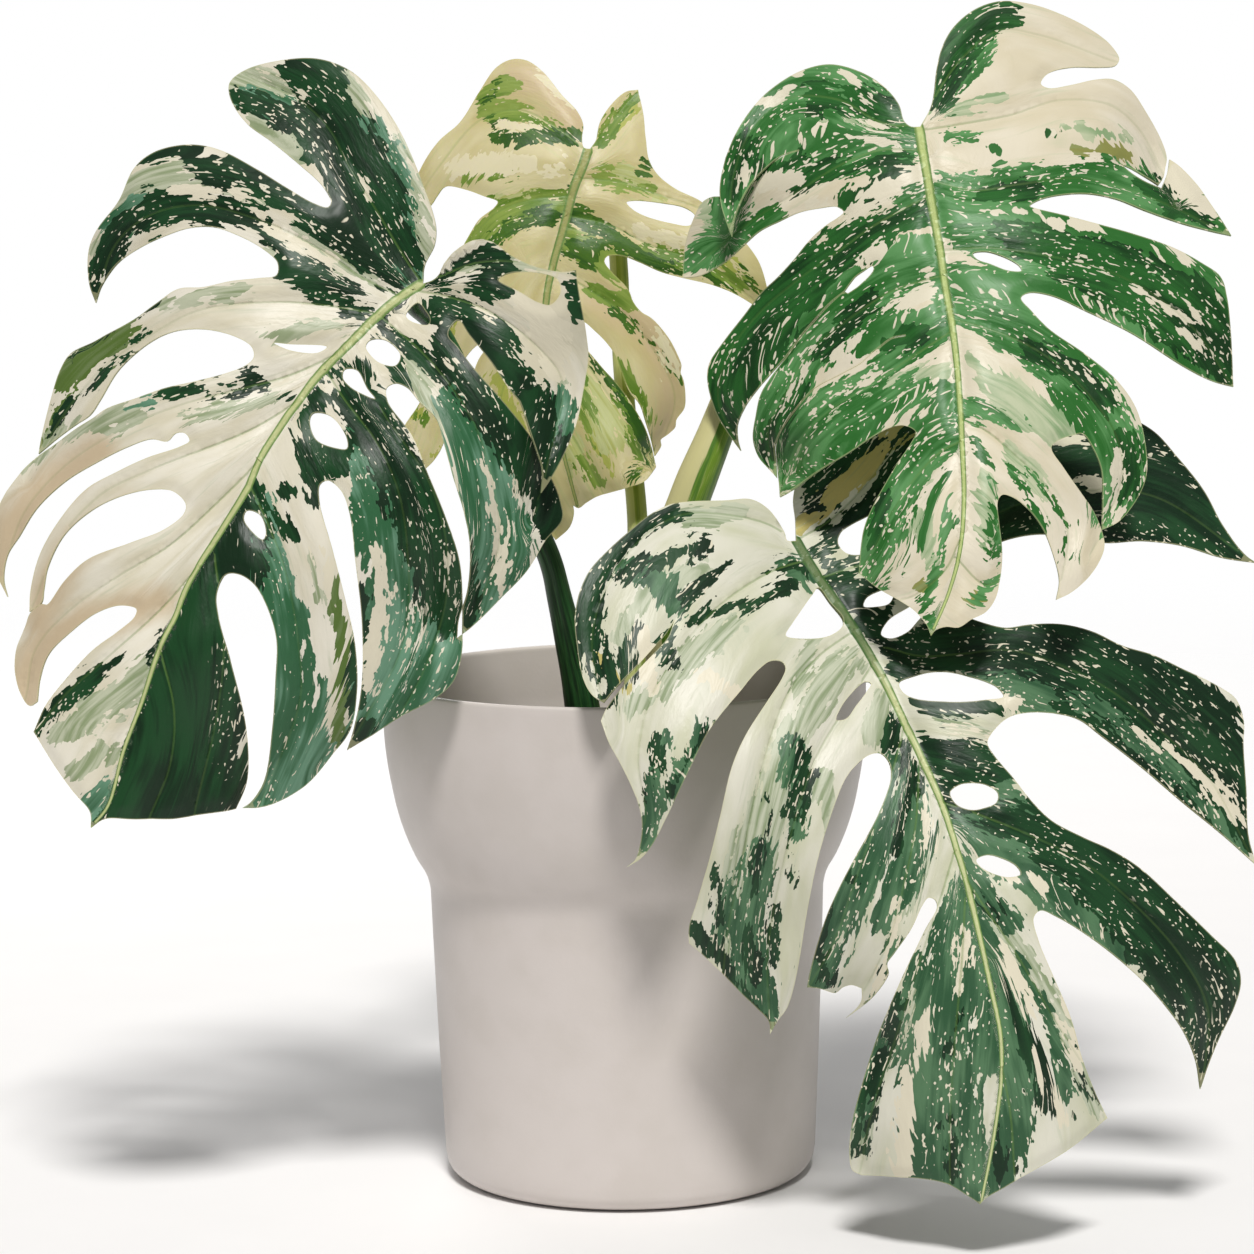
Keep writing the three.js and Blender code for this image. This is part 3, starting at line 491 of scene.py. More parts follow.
@dataclass
class Pot:
    """The white pot: a slim foot that swells into a wider collar over a soft crease."""

    wall: float = 3.2
    floor: float = 6.0
    segments: int = 176
    foot: str = "64.5,0 69.6,1.4 72.8,4.8 74,10"
    body: str = "74,10 75,32 76.2,60 77.3,90 78.1,115.5"
    collar: str = ("78.1,115.5 78.9,119.5 80.5,123.6 83.4,128.4 87.6,138 90.6,147.6 92.6,157"
                   " 94.2,166.5 95.1,175 95.5,184 95.5,198.2")
    lip: str = "95.5,198.2 95.3,199.4 94.6,200 93.4,200 92.6,199.4 92.3,198.2"
    glaze: MattGlazedEarthenware = field(default_factory=MattGlazedEarthenware)

    def section(self) -> list[list[float]]:
        """The pot's half section, from the underside's middle over the lip to the floor inside.

        Returns:
            Radius and height of each point, in millimetres.
        """
        line = [[0.0, 0.0]]
        for run, step in ((self.foot, 1.2), (self.body, 9.0), (self.collar, 2.2), (self.lip, 0.4)):
            line += smooth_run(read_points(run), step).tolist()[0 if len(line) == 1 else 1:]
        inner = np.vstack([read_points(self.body), read_points(self.collar)[1:-1]])[::-1]
        inner[:, 0] -= self.wall
        line += smooth_run(inner, 5.0).tolist()[1:]
        return line + [[70.2, 8.5], [66.0, self.floor], [0.0, self.floor]]

    def build(self) -> None:
        """Builds the pot and glazes it."""
        mesh = revolve("pot_glazed", self.section(), self.segments)
        finish_piece("pot_glazed", mesh, self.glaze.make(), "pot")


@dataclass(frozen=True)
class PottingMix:
    """Sieved peat and bark with perlite: dull, dark, crumbly, with pale grains here and there."""

    name: str = "potting mix, peat, bark and perlite"
    peat: str = "2b1d13"
    bark: str = "5a4029"
    perlite: str = "d9d4c8"
    crumb_mm: float = 3.0

    def make(self) -> Material:
        """Builds the mix.

        Returns:
            The material.
        """
        finish = Finish(self.name)
        add = finish.add
        crumb = finish.lumps(finish.place(), (self.crumb_mm,) * 3, 4.0)
        brown = add("MapRange", (crumb, 0.38, 0.68), **EASED)
        grain = add("Attribute", output="Fac", attribute_name="grain")
        pale = add("MapRange", (grain, 0.9, 0.92), **EASED)
        feed(finish.shader, {
            "Base Color": finish.layered(self.peat, (brown, self.bark), (pale, self.perlite)),
            "Roughness": 0.92,
            "Normal": add("Bump", {"Strength": 0.7, "Distance": 0.0012, "Height": crumb}),
        })
        return finish.material


@dataclass
class Soil:
    """The potting mix, filled to 43 mm below the rim, with loose crumbs on top."""

    top: float = 157.0
    reach: float = 88.9
    side: str = "0,6.5 64,6.5 70.3,12 74.4,112 84,138 88.9,156"
    rings: int = 45
    segments: int = 120
    lump: float = 2.4
    crumbs: int = 620
    seed: int = 7
    mix: PottingMix = field(default_factory=PottingMix)

    def height(self, x: float, y: float) -> float:
        """Height of the soil's surface, all in millimetres.

        Args:
            x: place to the right of the axis.
            y: place behind the axis.

        Returns:
            The height.
        """
        coarse = noise.noise(Vector((x * 0.035, y * 0.035, 0.3)))
        fine = noise.noise(Vector((x * 0.16, y * 0.16, 2.3)))
        return self.top + self.lump * (coarse * 0.7 + fine * 0.35) - 0.9

    def build(self) -> None:
        """Builds the fill and the crumbs as one mesh."""
        inward = np.linspace(self.reach, 0, self.rings + 1)[1:]
        section = read_points(self.side).tolist() + [(float(r), self.top) for r in inward]
        mesh = revolve("soil_fill", section, self.segments)
        for vertex in mesh.vertices:
            if vertex.co.z > (self.top - 0.5) * MM:
                vertex.co.z = self.height(vertex.co.x / MM, vertex.co.y / MM) * MM
        points = [tuple(v.co) for v in mesh.vertices]
        faces = [tuple(p.vertices) for p in mesh.polygons]
        grain = [0.0] * len(points)
        self.strew(points, faces, grain)
        mesh.clear_geometry()
        mesh.from_pydata(points, [], faces)
        store(mesh, "grain", grain)
        finish_piece("soil_fill", mesh, self.mix.make(), "soil")

    def strew(self, points: list, faces: list, grain: list) -> None:
        """Adds loose crumbs, rounded lumps of ten corners that lie on the surface.

        Args:
            points: the mesh's points in metres, to which the crumbs' are added.
            faces: its faces, likewise.
            grain: a random number a crumb, at each of its points, by which some are white.
        """
        rng = np.random.default_rng(self.seed)
        corners = read_points("1,0,0 -1,0,0 0,1,0 0,-1,0 0,0,1 0,0,-1 .6,.6,.6 -.6,.6,.6"
                              " .6,-.6,.6 -.6,-.6,.6")
        shell = read_points("4,6,7 4,7,9 4,9,8 4,8,6 0,2,6 2,7,6 2,1,7 1,9,7 1,3,9 3,8,9 3,0,8"
                            " 0,6,8 5,2,0 5,1,2 5,3,1 5,0,3").astype(int)
        for _ in range(self.crumbs):
            radius = (self.reach - 4) * math.sqrt(rng.random())
            turn = rng.random() * 2 * math.pi
            x, y = radius * math.cos(turn), radius * math.sin(turn)
            size = 0.7 + 2.3 * rng.random() ** 2.2
            body = corners * size * (0.7 + 0.6 * rng.random((len(corners), 3)))
            faces += [tuple(face) for face in (shell + len(points)).tolist()]
            points += [((x + p[0]) * MM, (y + p[1]) * MM,
                        (self.height(x, y) + p[2] * 0.8 + size * 0.25) * MM) for p in body]
            grain += [float(rng.random())] * len(corners)


@dataclass(frozen=True)
class PetioleSkin:
    """Smooth living skin of a petiole: satin, with fine long streaks where tissue is pale."""

    name: str
    green: str
    deep: str
    pale: str
    pale_share: float = 0.0
    pale_side: float = 0.0
    pale_turn: float = -1.0
    roughness: float = 0.38

    def make(self) -> Material:
        """Builds the skin.

        Returns:
            The material.
        """
        finish = Finish(self.name)
        add = finish.add
        flow = add("Attribute", output="Vector", attribute_name="flow")
        streak = finish.lumps(flow, (60.0, 1.6, 1.6), 3.0)
        fine = finish.lumps(flow, (14.0, 0.5, 0.5), 2.0, 3.0)
        layers = [(add("MapRange", (streak, 0.36, 0.66), **EASED), self.green)]
        if self.pale_share > 0:
            layers.append((self.band(finish, streak), self.pale))
        # Stomata and fine ribs are finer than 0.1 mm: drawn as 0.5 mm streaks so that they show.
        thin = add("MapRange", (fine, 0.5, 0.85), **EASED)
        layers.append((add("Math", (thin, 0.35), operation="MULTIPLY"), self.pale))
        feed(finish.shader, {
            "Base Color": finish.layered(self.deep, *layers),
            "Roughness": self.roughness,
            "IOR": 1.45,
            "Normal": add("Bump", {"Strength": 0.25, "Distance": 0.0004, "Height": streak}),
        })
        return finish.material

    def band(self, finish: Finish, streak: NodeSocket) -> NodeSocket:
        """Share of pale tissue, on one side of the stalk with a border that wanders.

        Args:
            finish: the material being made.
            streak: the noise by which the border wanders.

        Returns:
            The share's socket.
        """
        add = finish.add
        side = add("Attribute", output="Fac", attribute_name="side")
        turned = add("Math", (side, self.pale_turn), operation="MULTIPLY")
        stray = add("Math", (streak, 0.5), operation="SUBTRACT")
        wander = add("Math", (stray, 0.9, turned), operation="MULTIPLY_ADD")
        inside = add("MapRange", (wander, self.pale_side - 0.06, self.pale_side + 0.06), **EASED)
        return add("Math", (inside, self.pale_share), operation="MULTIPLY")


@dataclass
class Petiole:
    """A leaf's stalk from the soil to the blade, grooved on top, with a swollen knee."""

    name: str
    node: str
    leaf: "Blade"
    foot: tuple[float, float]
    foot_radius: float
    radii: tuple[float, ...]
    way: str
    joint: tuple[float, float]
    slot: str
    skin: PetioleSkin
    flare: float = 1.0
    knee: float = 0.14
    groove: float = 0.13
    sunk: float = 8.0
    soil_top: float = 157.0
    sides: int = 28

    def path(self) -> np.ndarray:
        """The stalk's middle line.

        Returns:
            Rows of x, y and z in millimetres, 2 mm apart.
        """
        spots = read_points(self.way)
        way = VIEW.spot(spots[:, :2], spots[:, 2])
        end, normal = self.leaf.seat(self.joint)
        x, y = self.foot
        ends = np.array([end - normal * 9.8, end - normal * 0.35])
        base = np.array([(x, y, self.soil_top + rise) for rise in (-self.sunk, 0.0, 12.0)])
        line = smooth_run(np.vstack([base, way, ends]), 2.0)
        passed = np.concatenate([[0.0], np.cumsum(np.linalg.norm(np.diff(line, axis=0), axis=1))])
        even = np.linspace(0, passed[-1], max(12, int(passed[-1] / 2.0)))
        return np.stack([np.interp(even, passed, line[:, k]) for k in range(3)], axis=1)

    def build(self) -> None:
        """Sweeps the section up the path and puts the skin on."""
        line = self.path()
        count = len(line)
        share = np.linspace(0, 1, count)
        length = float(np.sum(np.linalg.norm(np.diff(line, axis=0), axis=1)))
        radius = self.thickness(share, length)
        tangents = np.gradient(line, axis=0)
        tangents /= np.linalg.norm(tangents, axis=1)[:, None]
        across = np.array([1.0, 0.0, 0.0])
        points, flow, side = [], [], []
        for i in range(count):
            across = across - tangents[i] * float(across @ tangents[i])
            across /= np.linalg.norm(across)
            beyond = np.cross(tangents[i], across)
            for k in range(self.sides):
                turn = 2 * math.pi * k / self.sides
                groove = 1 - self.groove * math.exp(-((turn - math.pi / 2) / 0.42) ** 2)
                reach = radius[i] * groove
                points.append((line[i] + (across * math.cos(turn) + beyond * math.sin(turn))
                               * reach) * MM)
                flow.append((share[i] * length, math.cos(turn) * radius[i],
                             math.sin(turn) * radius[i]))
                side.append(math.cos(turn))
        faces = []
        for a in range(0, (count - 1) * self.sides, self.sides):
            for k in range(self.sides):
                n = (k + 1) % self.sides
                faces.append((a + k, a + n, a + self.sides + n, a + self.sides + k))
        faces.append(tuple(reversed(range(self.sides))))
        faces.append(tuple(range((count - 1) * self.sides, count * self.sides)))
        mesh = bpy.data.meshes.new(self.name)
        mesh.from_pydata([tuple(p) for p in points], [], faces)
        mesh.shade_smooth()
        mesh.set_sharp_from_angle(angle=math.radians(60))
        store(mesh, "flow", flow)
        store(mesh, "side", side)
        finish_piece(self.name, mesh, self.skin.make(), self.node)

    def thickness(self, share: np.ndarray, length: float) -> np.ndarray:
        """Radius along the stalk, thicker at the knee below the blade and, if flared, at the foot.

        Args:
            share: how far up the stalk each ring lies, from 0 to 1.
            length: the stalk's length in millimetres.

        Returns:
            One radius a ring, in millimetres.
        """
        plan = (self.foot_radius, self.foot_radius) + self.radii
        radius = np.interp(share, np.linspace(0, 1, len(plan)), plan)
        left = (1 - share) * length
        radius = radius * (1 + self.knee * np.exp(-((left - 9) / 7) ** 2))
        risen = share * length - self.sunk
        return radius * (1 + (self.flare - 1) * np.exp(-(np.clip(risen, 0, None) / 26) ** 2))


@dataclass
class Stem:
    """The short stem between the stalks, ringed by old leaf scars."""

    place: tuple[float, float] = (-1.0, 1.0)
    radius: float = 7.6
    bottom: float = 132.0
    top: float = 170.6
    skin: PetioleSkin = PetioleSkin("stem bark, living, ringed by leaf scars", "6d7445", "3d4526",
                                    "9a8f63", 0.5, 0.2, 0.6)

    def build(self) -> None:
        """Turns the ringed stem and puts its skin on."""
        section = [(0.0, self.bottom)]
        for height in np.linspace(self.bottom, self.top, 40):
            share = (height - self.bottom) / (self.top - self.bottom)
            ring = 0.35 * math.exp(-((height % 6.5 - 3) / 0.6) ** 2)
            section.append((self.radius * (1 - 0.2 * share) + ring - 0.3, float(height)))
        section[-1] = (self.radius * 0.62, self.top)
        mesh = revolve("stem_ringed", section + [(0.0, self.top + 0.3)], 36)
        for vertex in mesh.vertices:
            vertex.co.x += self.place[0] * MM
            vertex.co.y += self.place[1] * MM
        spots = np.array([(v.co.z / MM, v.co.x / MM, v.co.y / MM) for v in mesh.vertices])
        store(mesh, "flow", spots)
        store(mesh, "side", np.clip(spots[:, 1] / self.radius, -1, 1))
        finish_piece("stem_ringed", mesh, self.skin.make(), "stem")


class Tone(Enum):
    """The tissues of a variegated blade, and a brownish painted shade, in the order in which one covers
    another.
    """

    # Painted shade: brownish on cream where a lobe curls away from the light.
    TAN = "tan_shade"
    GOLD = "gold"
    SAGE = "sage"
    # Mid-green tissue; it is also drawn where the cuticle shows a teal sheen, and its lighter share is
    # painted sheen.
    MID = "mid"
    DARK = "dark"
    PALE = "pale"

    @property
    def spread(self) -> float:
        """How much wider than its drawn strokes the tissue lies, in millimetres."""
        return {Tone.MID: 2.4, Tone.DARK: 2.2}.get(self, 0.3)


@dataclass(frozen=True)
class BladeSkin:
    """Leathery living blade, satin cuticle: green tissue, tissue without green, and between.

    Chlorophyll lies in patches that run out along the veins, so every boundary is drawn out and
    broken up along them, with specks on both sides. The cuticle gives a broad, slightly bluish
    sheen, which is partly painted: lighter, bluer greens laid in streaks over the green tissue.
    A brownish painted shade lies on cream where a lobe curls away from the light.
    """

    name: str
    cream: str = "e7e2d2"
    cream_low: str = "d4cdb4"
    # Painted shade: the brownish colour of cream lobes at their curled, shaded ends.
    tan_shade: str = "cbb899"
    gold: str = "56702f"
    sage: str = "bdc2a8"
    sage_low: str = "8c9a74"
    mid: str = "30633f"
    # Painted sheen: a lighter teal green laid over mid-green tissue where the cuticle catches light.
    mid_sheen: str = "6a957a"
    dark: str = "0b2913"
    # Painted sheen: a lighter green laid over dark tissue in the same streaks.
    dark_sheen: str = "174321"
    pale: str = "e0d9c2"
    rib: str = "c3c98f"
    rib_side: str = "6a8b45"
    rib_root: str = ""
    margin: str = "d3cf9f"
    under: str = "8ea079"
    knee: float = 3.0
    tear: float = 12.0
    fleck: float = 8.0
    spray: float = 3.2
    cloud_mm: tuple[float, ...] = (34.0, 9.0, 9.0)
    streak_mm: tuple[float, ...] = (26.0, 1.5, 9.0)
    tear_mm: tuple[float, ...] = (18.0, 4.2, 9.0)
    fleck_mm: tuple[float, ...] = (5.6, 1.7, 9.0)
    spray_mm: tuple[float, ...] = (2.0, 0.9, 9.0)
    swarm_mm: tuple[float, ...] = (22.0, 8.0, 9.0)
    dot_mm: tuple[float, ...] = (1.8, 1.1, 9.0)
    dash_mm: tuple[float, ...] = (5.4, 0.9, 9.0)
    pucker_mm: tuple[float, ...] = (4.5, 1.4, 9.0)
    roughness: float = 0.37
    gloss: float = 0.36
    speck_share: float = 0.5
    light_through: float = 0.0

    def ragged(self, finish: Finish, flow: NodeSocket,
               shift: float) -> NodeSocket:
        """How far a boundary strays, in mm: long tears along the veins, then flecks, then spray.

        Args:
            finish: the material being made.
            flow: place along and across the veins, in millimetres.
            shift: moves the pattern.

        Returns:
            The distance, above and below zero.
        """
        total = 0.0
        for sizes, reach in ((self.tear_mm, self.tear), (self.fleck_mm, self.fleck),
                             (self.spray_mm, self.spray)):
            lump = finish.lumps(flow, sizes, 1.0, shift)
            part = finish.add("Math", (lump, 0.5), operation="SUBTRACT")
            total = finish.add("Math", (part, reach, total), operation="MULTIPLY_ADD")
            shift += 4.3
        return total

    def shares(self, finish: Finish,
               flow: NodeSocket) -> dict[Tone, NodeSocket]:
        """Where each tissue lies: its drawn field with a ragged border, or a soft one for the brownish
        painted shade.

        Args:
            finish: the material being made.
            flow: place along and across the veins, in millimetres.

        Returns:
            The share of each tissue, from 0 to 1.
        """
        tear, pool = self.ragged(finish, flow, 3.1), self.ragged(finish, flow, 11.7)
        found = {}
        # The brownish painted shade has a wide soft border and no tears.
        for tone, stray, way, low, high in (
                (Tone.TAN, pool, 0.3, -7.0, 4.0), (Tone.GOLD, pool, -1, -0.1, 0.1),
                (Tone.SAGE, pool, 1, -0.1, 0.1), (Tone.MID, tear, -1, -0.1, 0.1),
                (Tone.DARK, tear, 1, -0.1, 0.1), (Tone.PALE, pool, 1, -0.1, 0.1)):
            drawn = finish.add("Attribute", output="Fac", attribute_name=tone.value)
            reach = finish.add("Math", (stray, way, drawn), operation="MULTIPLY_ADD")
            found[tone] = finish.add("MapRange", (reach, low, high), **EASED)
        return found

    def specks(self, finish: Finish, flow: NodeSocket,
               shares: dict[Tone, NodeSocket]) -> NodeSocket:
        """Specks of tissue without green: dots of 1 mm, and dashes of 1 by 4 mm along the veins.

        Args:
            finish: the material being made.
            flow: place along and across the veins, in millimetres.
            shares: the share of each tissue.

        Returns:
            The share of specks, which lie only in green tissue that isn't solid.
        """
        add = finish.add
        green = add("Math", (shares[Tone.MID], shares[Tone.DARK]), operation="MAXIMUM")
        dark = add("Attribute", output="Fac", attribute_name=Tone.DARK.value)
        broken = add("MapRange", (dark, 5.6, 4.7), **EASED)
        green = add("Math", (green, broken), operation="MULTIPLY")
        swarm = finish.lumps(flow, self.swarm_mm, 2.0, 8.0)
        level = add("Math", (swarm, -0.4, 0.99 - 0.08 * self.speck_share),
                    operation="MULTIPLY_ADD")
        dots = finish.lumps(flow, self.dot_mm, 0.0, 6.0)
        dashes = add("Math", (finish.lumps(flow, self.dash_mm, 0.0, 7.0), 0.01),
                     operation="SUBTRACT")
        peak = add("Math", (dots, dashes), operation="MAXIMUM")
        over = add("Math", (peak, level), operation="SUBTRACT")
        return add("Math", (add("MapRange", (over, 0.0, 0.03), **EASED), green),
                   operation="MULTIPLY")

    def rib_tones(self, finish: Finish, rib: NodeSocket) -> NodeSocket:
        """The midrib's colour: pale along its crown, and deep green at its root if it has that.

        Args:
            finish: the material being made.
            rib: distance from the midrib, in its half widths.

        Returns:
            The colour's socket.
        """
        add = finish.add
        layers = [(add("MapRange", (rib, 0.3, 0.85), **EASED), self.rib_side)]
        if self.rib_root:
            # Where the stalk goes over into the midrib, it keeps the stalk's deep green.
            along = add("Attribute", output="Fac", attribute_name="along")
            near = add("MapRange", (along, 0.27, 0.16), **EASED)
            layers.append((add("Math", (near, 0.8), operation="MULTIPLY"), self.rib_root))
        return finish.layered(self.rib, *layers)

    def make(self) -> Material:
        """Builds the blade's two faces as one material.

        Returns:
            The material.
        """
        finish = Finish(self.name)
        add = finish.add
        flow = add("Attribute", output="Vector", attribute_name="flow")
        vein, rib, edge, face = (add("Attribute", output="Fac", attribute_name=name)
                                 for name in ("vein", "rib", "edge", "face"))
        cloud = finish.lumps(flow, self.cloud_mm)
        streak = finish.lumps(flow, self.streak_mm, 3.0, 2.0)
        cloudy = add("MapRange", (cloud, 0.3, 0.72), **EASED)
        blush = add("MapRange", (streak, 0.54, 0.8), **EASED)
        grain = add("MapRange", (streak, 0.4, 0.7), **EASED)
        grain = add("Math", (grain, 0.35), operation="MULTIPLY")
        sage = add("MapRange", (streak, 0.32, 0.62), **EASED)
        # Painted sheen: the share of lighter, bluer green, in streaks and clouds along the veins.
        lit = add("Math", (streak, 0.5, cloud), operation="MULTIPLY_ADD")
        lit = add("MapRange", (lit, 0.62, 0.9), **EASED)
        shares = self.shares(finish, flow)
        near = add("MapRange", (rib, 30.0, 3.0), **EASED)
        thread = add("Math", (near, 0.3, 0.16), operation="MULTIPLY_ADD")
        on_vein = add("MapRange", (vein, 0.7, 0.2), **EASED)
        margin = add("MapRange", (edge, 0.5, 0.2), **EASED)
        colour = finish.layered(
            self.cream,
            (cloudy, self.cream_low),
            (add("Math", (blush, 0.6), operation="MULTIPLY"), self.sage),
            # The brownish layer is painted shade; the lighter greens over mid and dark tissue are painted
            # sheen.
            (shares[Tone.TAN], self.tan_shade),
            (shares[Tone.GOLD], finish.layered(self.gold, (grain, self.sage_low))),
            (shares[Tone.SAGE], finish.layered(self.sage_low, (sage, self.sage))),
            (shares[Tone.MID], finish.layered(self.mid, (lit, self.mid_sheen))),
            (shares[Tone.DARK], finish.layered(self.dark, (lit, self.dark_sheen))),
            (self.specks(finish, flow, shares), self.pale),
            (shares[Tone.PALE], self.pale),
            (add("Math", (on_vein, thread), operation="MULTIPLY"), self.rib_side),
            (add("MapRange", (rib, 1.08, 0.92), **EASED), self.rib_tones(finish, rib)),
            (add("Math", (margin, 0.35), operation="MULTIPLY"), self.margin),
            (add("Math", (face, 0.5), operation="MULTIPLY"), self.under))
        rough = add("Math", (face, 0.22, self.roughness), operation="MULTIPLY_ADD")
        # Cells are far too fine to show: the puckering drawn here is that of the small veins.
        pucker = finish.lumps(flow, self.pucker_mm, 2.0, 9.0)
        sunk = add("MapRange", (vein, 0.9, 0.0), **EASED)
        height = add("Math", (sunk, -0.5, pucker), operation="MULTIPLY_ADD")
        feed(finish.shader, {
            "Base Color": colour,
            "Roughness": add("Math", (streak, 0.08, rough), operation="MULTIPLY_ADD"),
            "Normal": add("Bump", {"Strength": 0.4, "Distance": 0.0005, "Height": height}),
            "IOR": 1.45,
            "Specular IOR Level": self.gloss,
        })
        if self.light_through > 0:
            feed(finish.shader, {"Subsurface Weight": self.light_through,
                                 "Subsurface Radius": (0.004, 0.005, 0.002),
                                 "Subsurface Scale": 1.0})
        return finish.material


@dataclass(frozen=True)
class Flap:
    """A lobe's end that lies in front of the next lobe, and how far its tip is lifted, in mm."""

    lift: float
    outline: tuple[str, ...]


@dataclass(frozen=True)
class LeafDrawing:
    """One leaf as drawn over the photograph, in photo points; depths add mm toward the viewer."""

    name: str
    node: str
    slot: str
    outline: tuple[str, ...]
    flaps: tuple[Flap, ...]
    holes: tuple[str, ...]
    midrib: str
    depths: str
    left_veins: tuple[str, ...]
    right_veins: tuple[str, ...]
    marks: dict[Tone, str]
    skin: BladeSkin


def near_line(points: np.ndarray, line: np.ndarray) -> tuple[np.ndarray, ...]:
    """Where points lie beside a line.

    Args:
        points: rows of x and y.
        line: rows of x, y and, for a stroke, its half width.

    Returns:
        Distance, length passed along the line, side (1, or -1 to the picture's left of a line
        drawn downward), and the distance less the stroke's half width.
    """
    best, beyond = np.full((2, len(points)), np.inf)
    along, side = np.zeros((2, len(points)))
    passed = 0.0
    for a, b in zip(line, line[1:]):
        run, away = b[:2] - a[:2], points - a[:2]
        length = max(float(np.linalg.norm(run)), 1e-9)
        share = np.clip(away @ run / length**2, 0.0, 1.0)
        gap = np.linalg.norm(away - share[:, None] * run, axis=1)
        closer = gap < best - 1e-9
        best = np.where(closer, gap, best)
        along = np.where(closer, passed + share * length, along)
        turned = np.where(run[1] * away[:, 0] - run[0] * away[:, 1] < 0, -1.0, 1.0)
        side = np.where(closer, turned, side)
        if len(a) > 2:
            beyond = np.minimum(beyond, gap - (a[2] + (b[2] - a[2]) * share))
        passed += length
    return best, along, side, beyond


def near_sides(points: np.ndarray, sides: np.ndarray) -> np.ndarray:
    """Distance from points to the nearest of many separate sides.

    Args:
        points: rows of x and y.
        sides: side ends, shaped (count, 2, 2).

    Returns:
        One distance a point.
    """
    out = np.full(len(points), np.inf)
    for a, b in sides:
        run = b - a
        share = np.clip((points - a) @ run / max(float(run @ run), 1e-9), 0.0, 1.0)
        gap = points - a - share[:, None] * run
        out = np.minimum(out, np.hypot(gap[:, 0], gap[:, 1]))
    return out


def is_inside(points: np.ndarray, loop: np.ndarray) -> np.ndarray:
    """Whether each point lies in a closed loop.

    Args:
        points: rows of x and y.
        loop: the loop's points, with the first not repeated.

    Returns:
        One truth value a point.
    """
    inside = np.zeros(len(points), bool)
    for a, b in zip(loop, np.roll(loop, 1, axis=0)):
        if a[1] == b[1]:
            continue
        crosses = (a[1] > points[:, 1]) != (b[1] > points[:, 1])
        at = (b[0] - a[0]) * (points[:, 1] - a[1]) / (b[1] - a[1]) + a[0]
        inside ^= crosses & (points[:, 0] < at)
    return inside


class BentPlate:
    """A thin plate bent through pinned depths: a depth for every drawn point."""

    UNIT = 100.0

    def __init__(self, pins: np.ndarray) -> None:
        """Solves the plate.

        Args:
            pins: rows of x, y and depth that it passes through.
        """
        self.pins = pins
        count = len(pins)
        matrix = np.zeros((count + 3, count + 3))
        matrix[:count, :count] = self.bend(pins[:, :2]) + 0.02 * np.eye(count)
        matrix[:count, count:] = self.flat(pins[:, :2])
        matrix[count:, :count] = matrix[:count, count:].T
        self.weights = np.linalg.solve(matrix, np.concatenate([pins[:, 2], np.zeros(3)]))

    def bend(self, points: np.ndarray) -> np.ndarray:
        """The plate's curved terms.

        Args:
            points: drawn points.

        Returns:
            A row a point and a column a pin.
        """
        gap = points[:, None, :] - self.pins[None, :, :2]
        r2 = (gap**2).sum(axis=2) / self.UNIT**2
        return np.where(r2 > 0, r2 * np.log(np.maximum(r2, 1e-12)), 0.0)

    def flat(self, points: np.ndarray) -> np.ndarray:
        """The plate's flat terms."""
        return np.column_stack([np.ones(len(points)), points / self.UNIT])

    def depth(self, points: np.ndarray) -> np.ndarray:
        """Depth at each point, in millimetres toward the viewer."""
        count = len(self.pins)
        return self.bend(points) @ self.weights[:count] + self.flat(points) @ self.weights[count:]


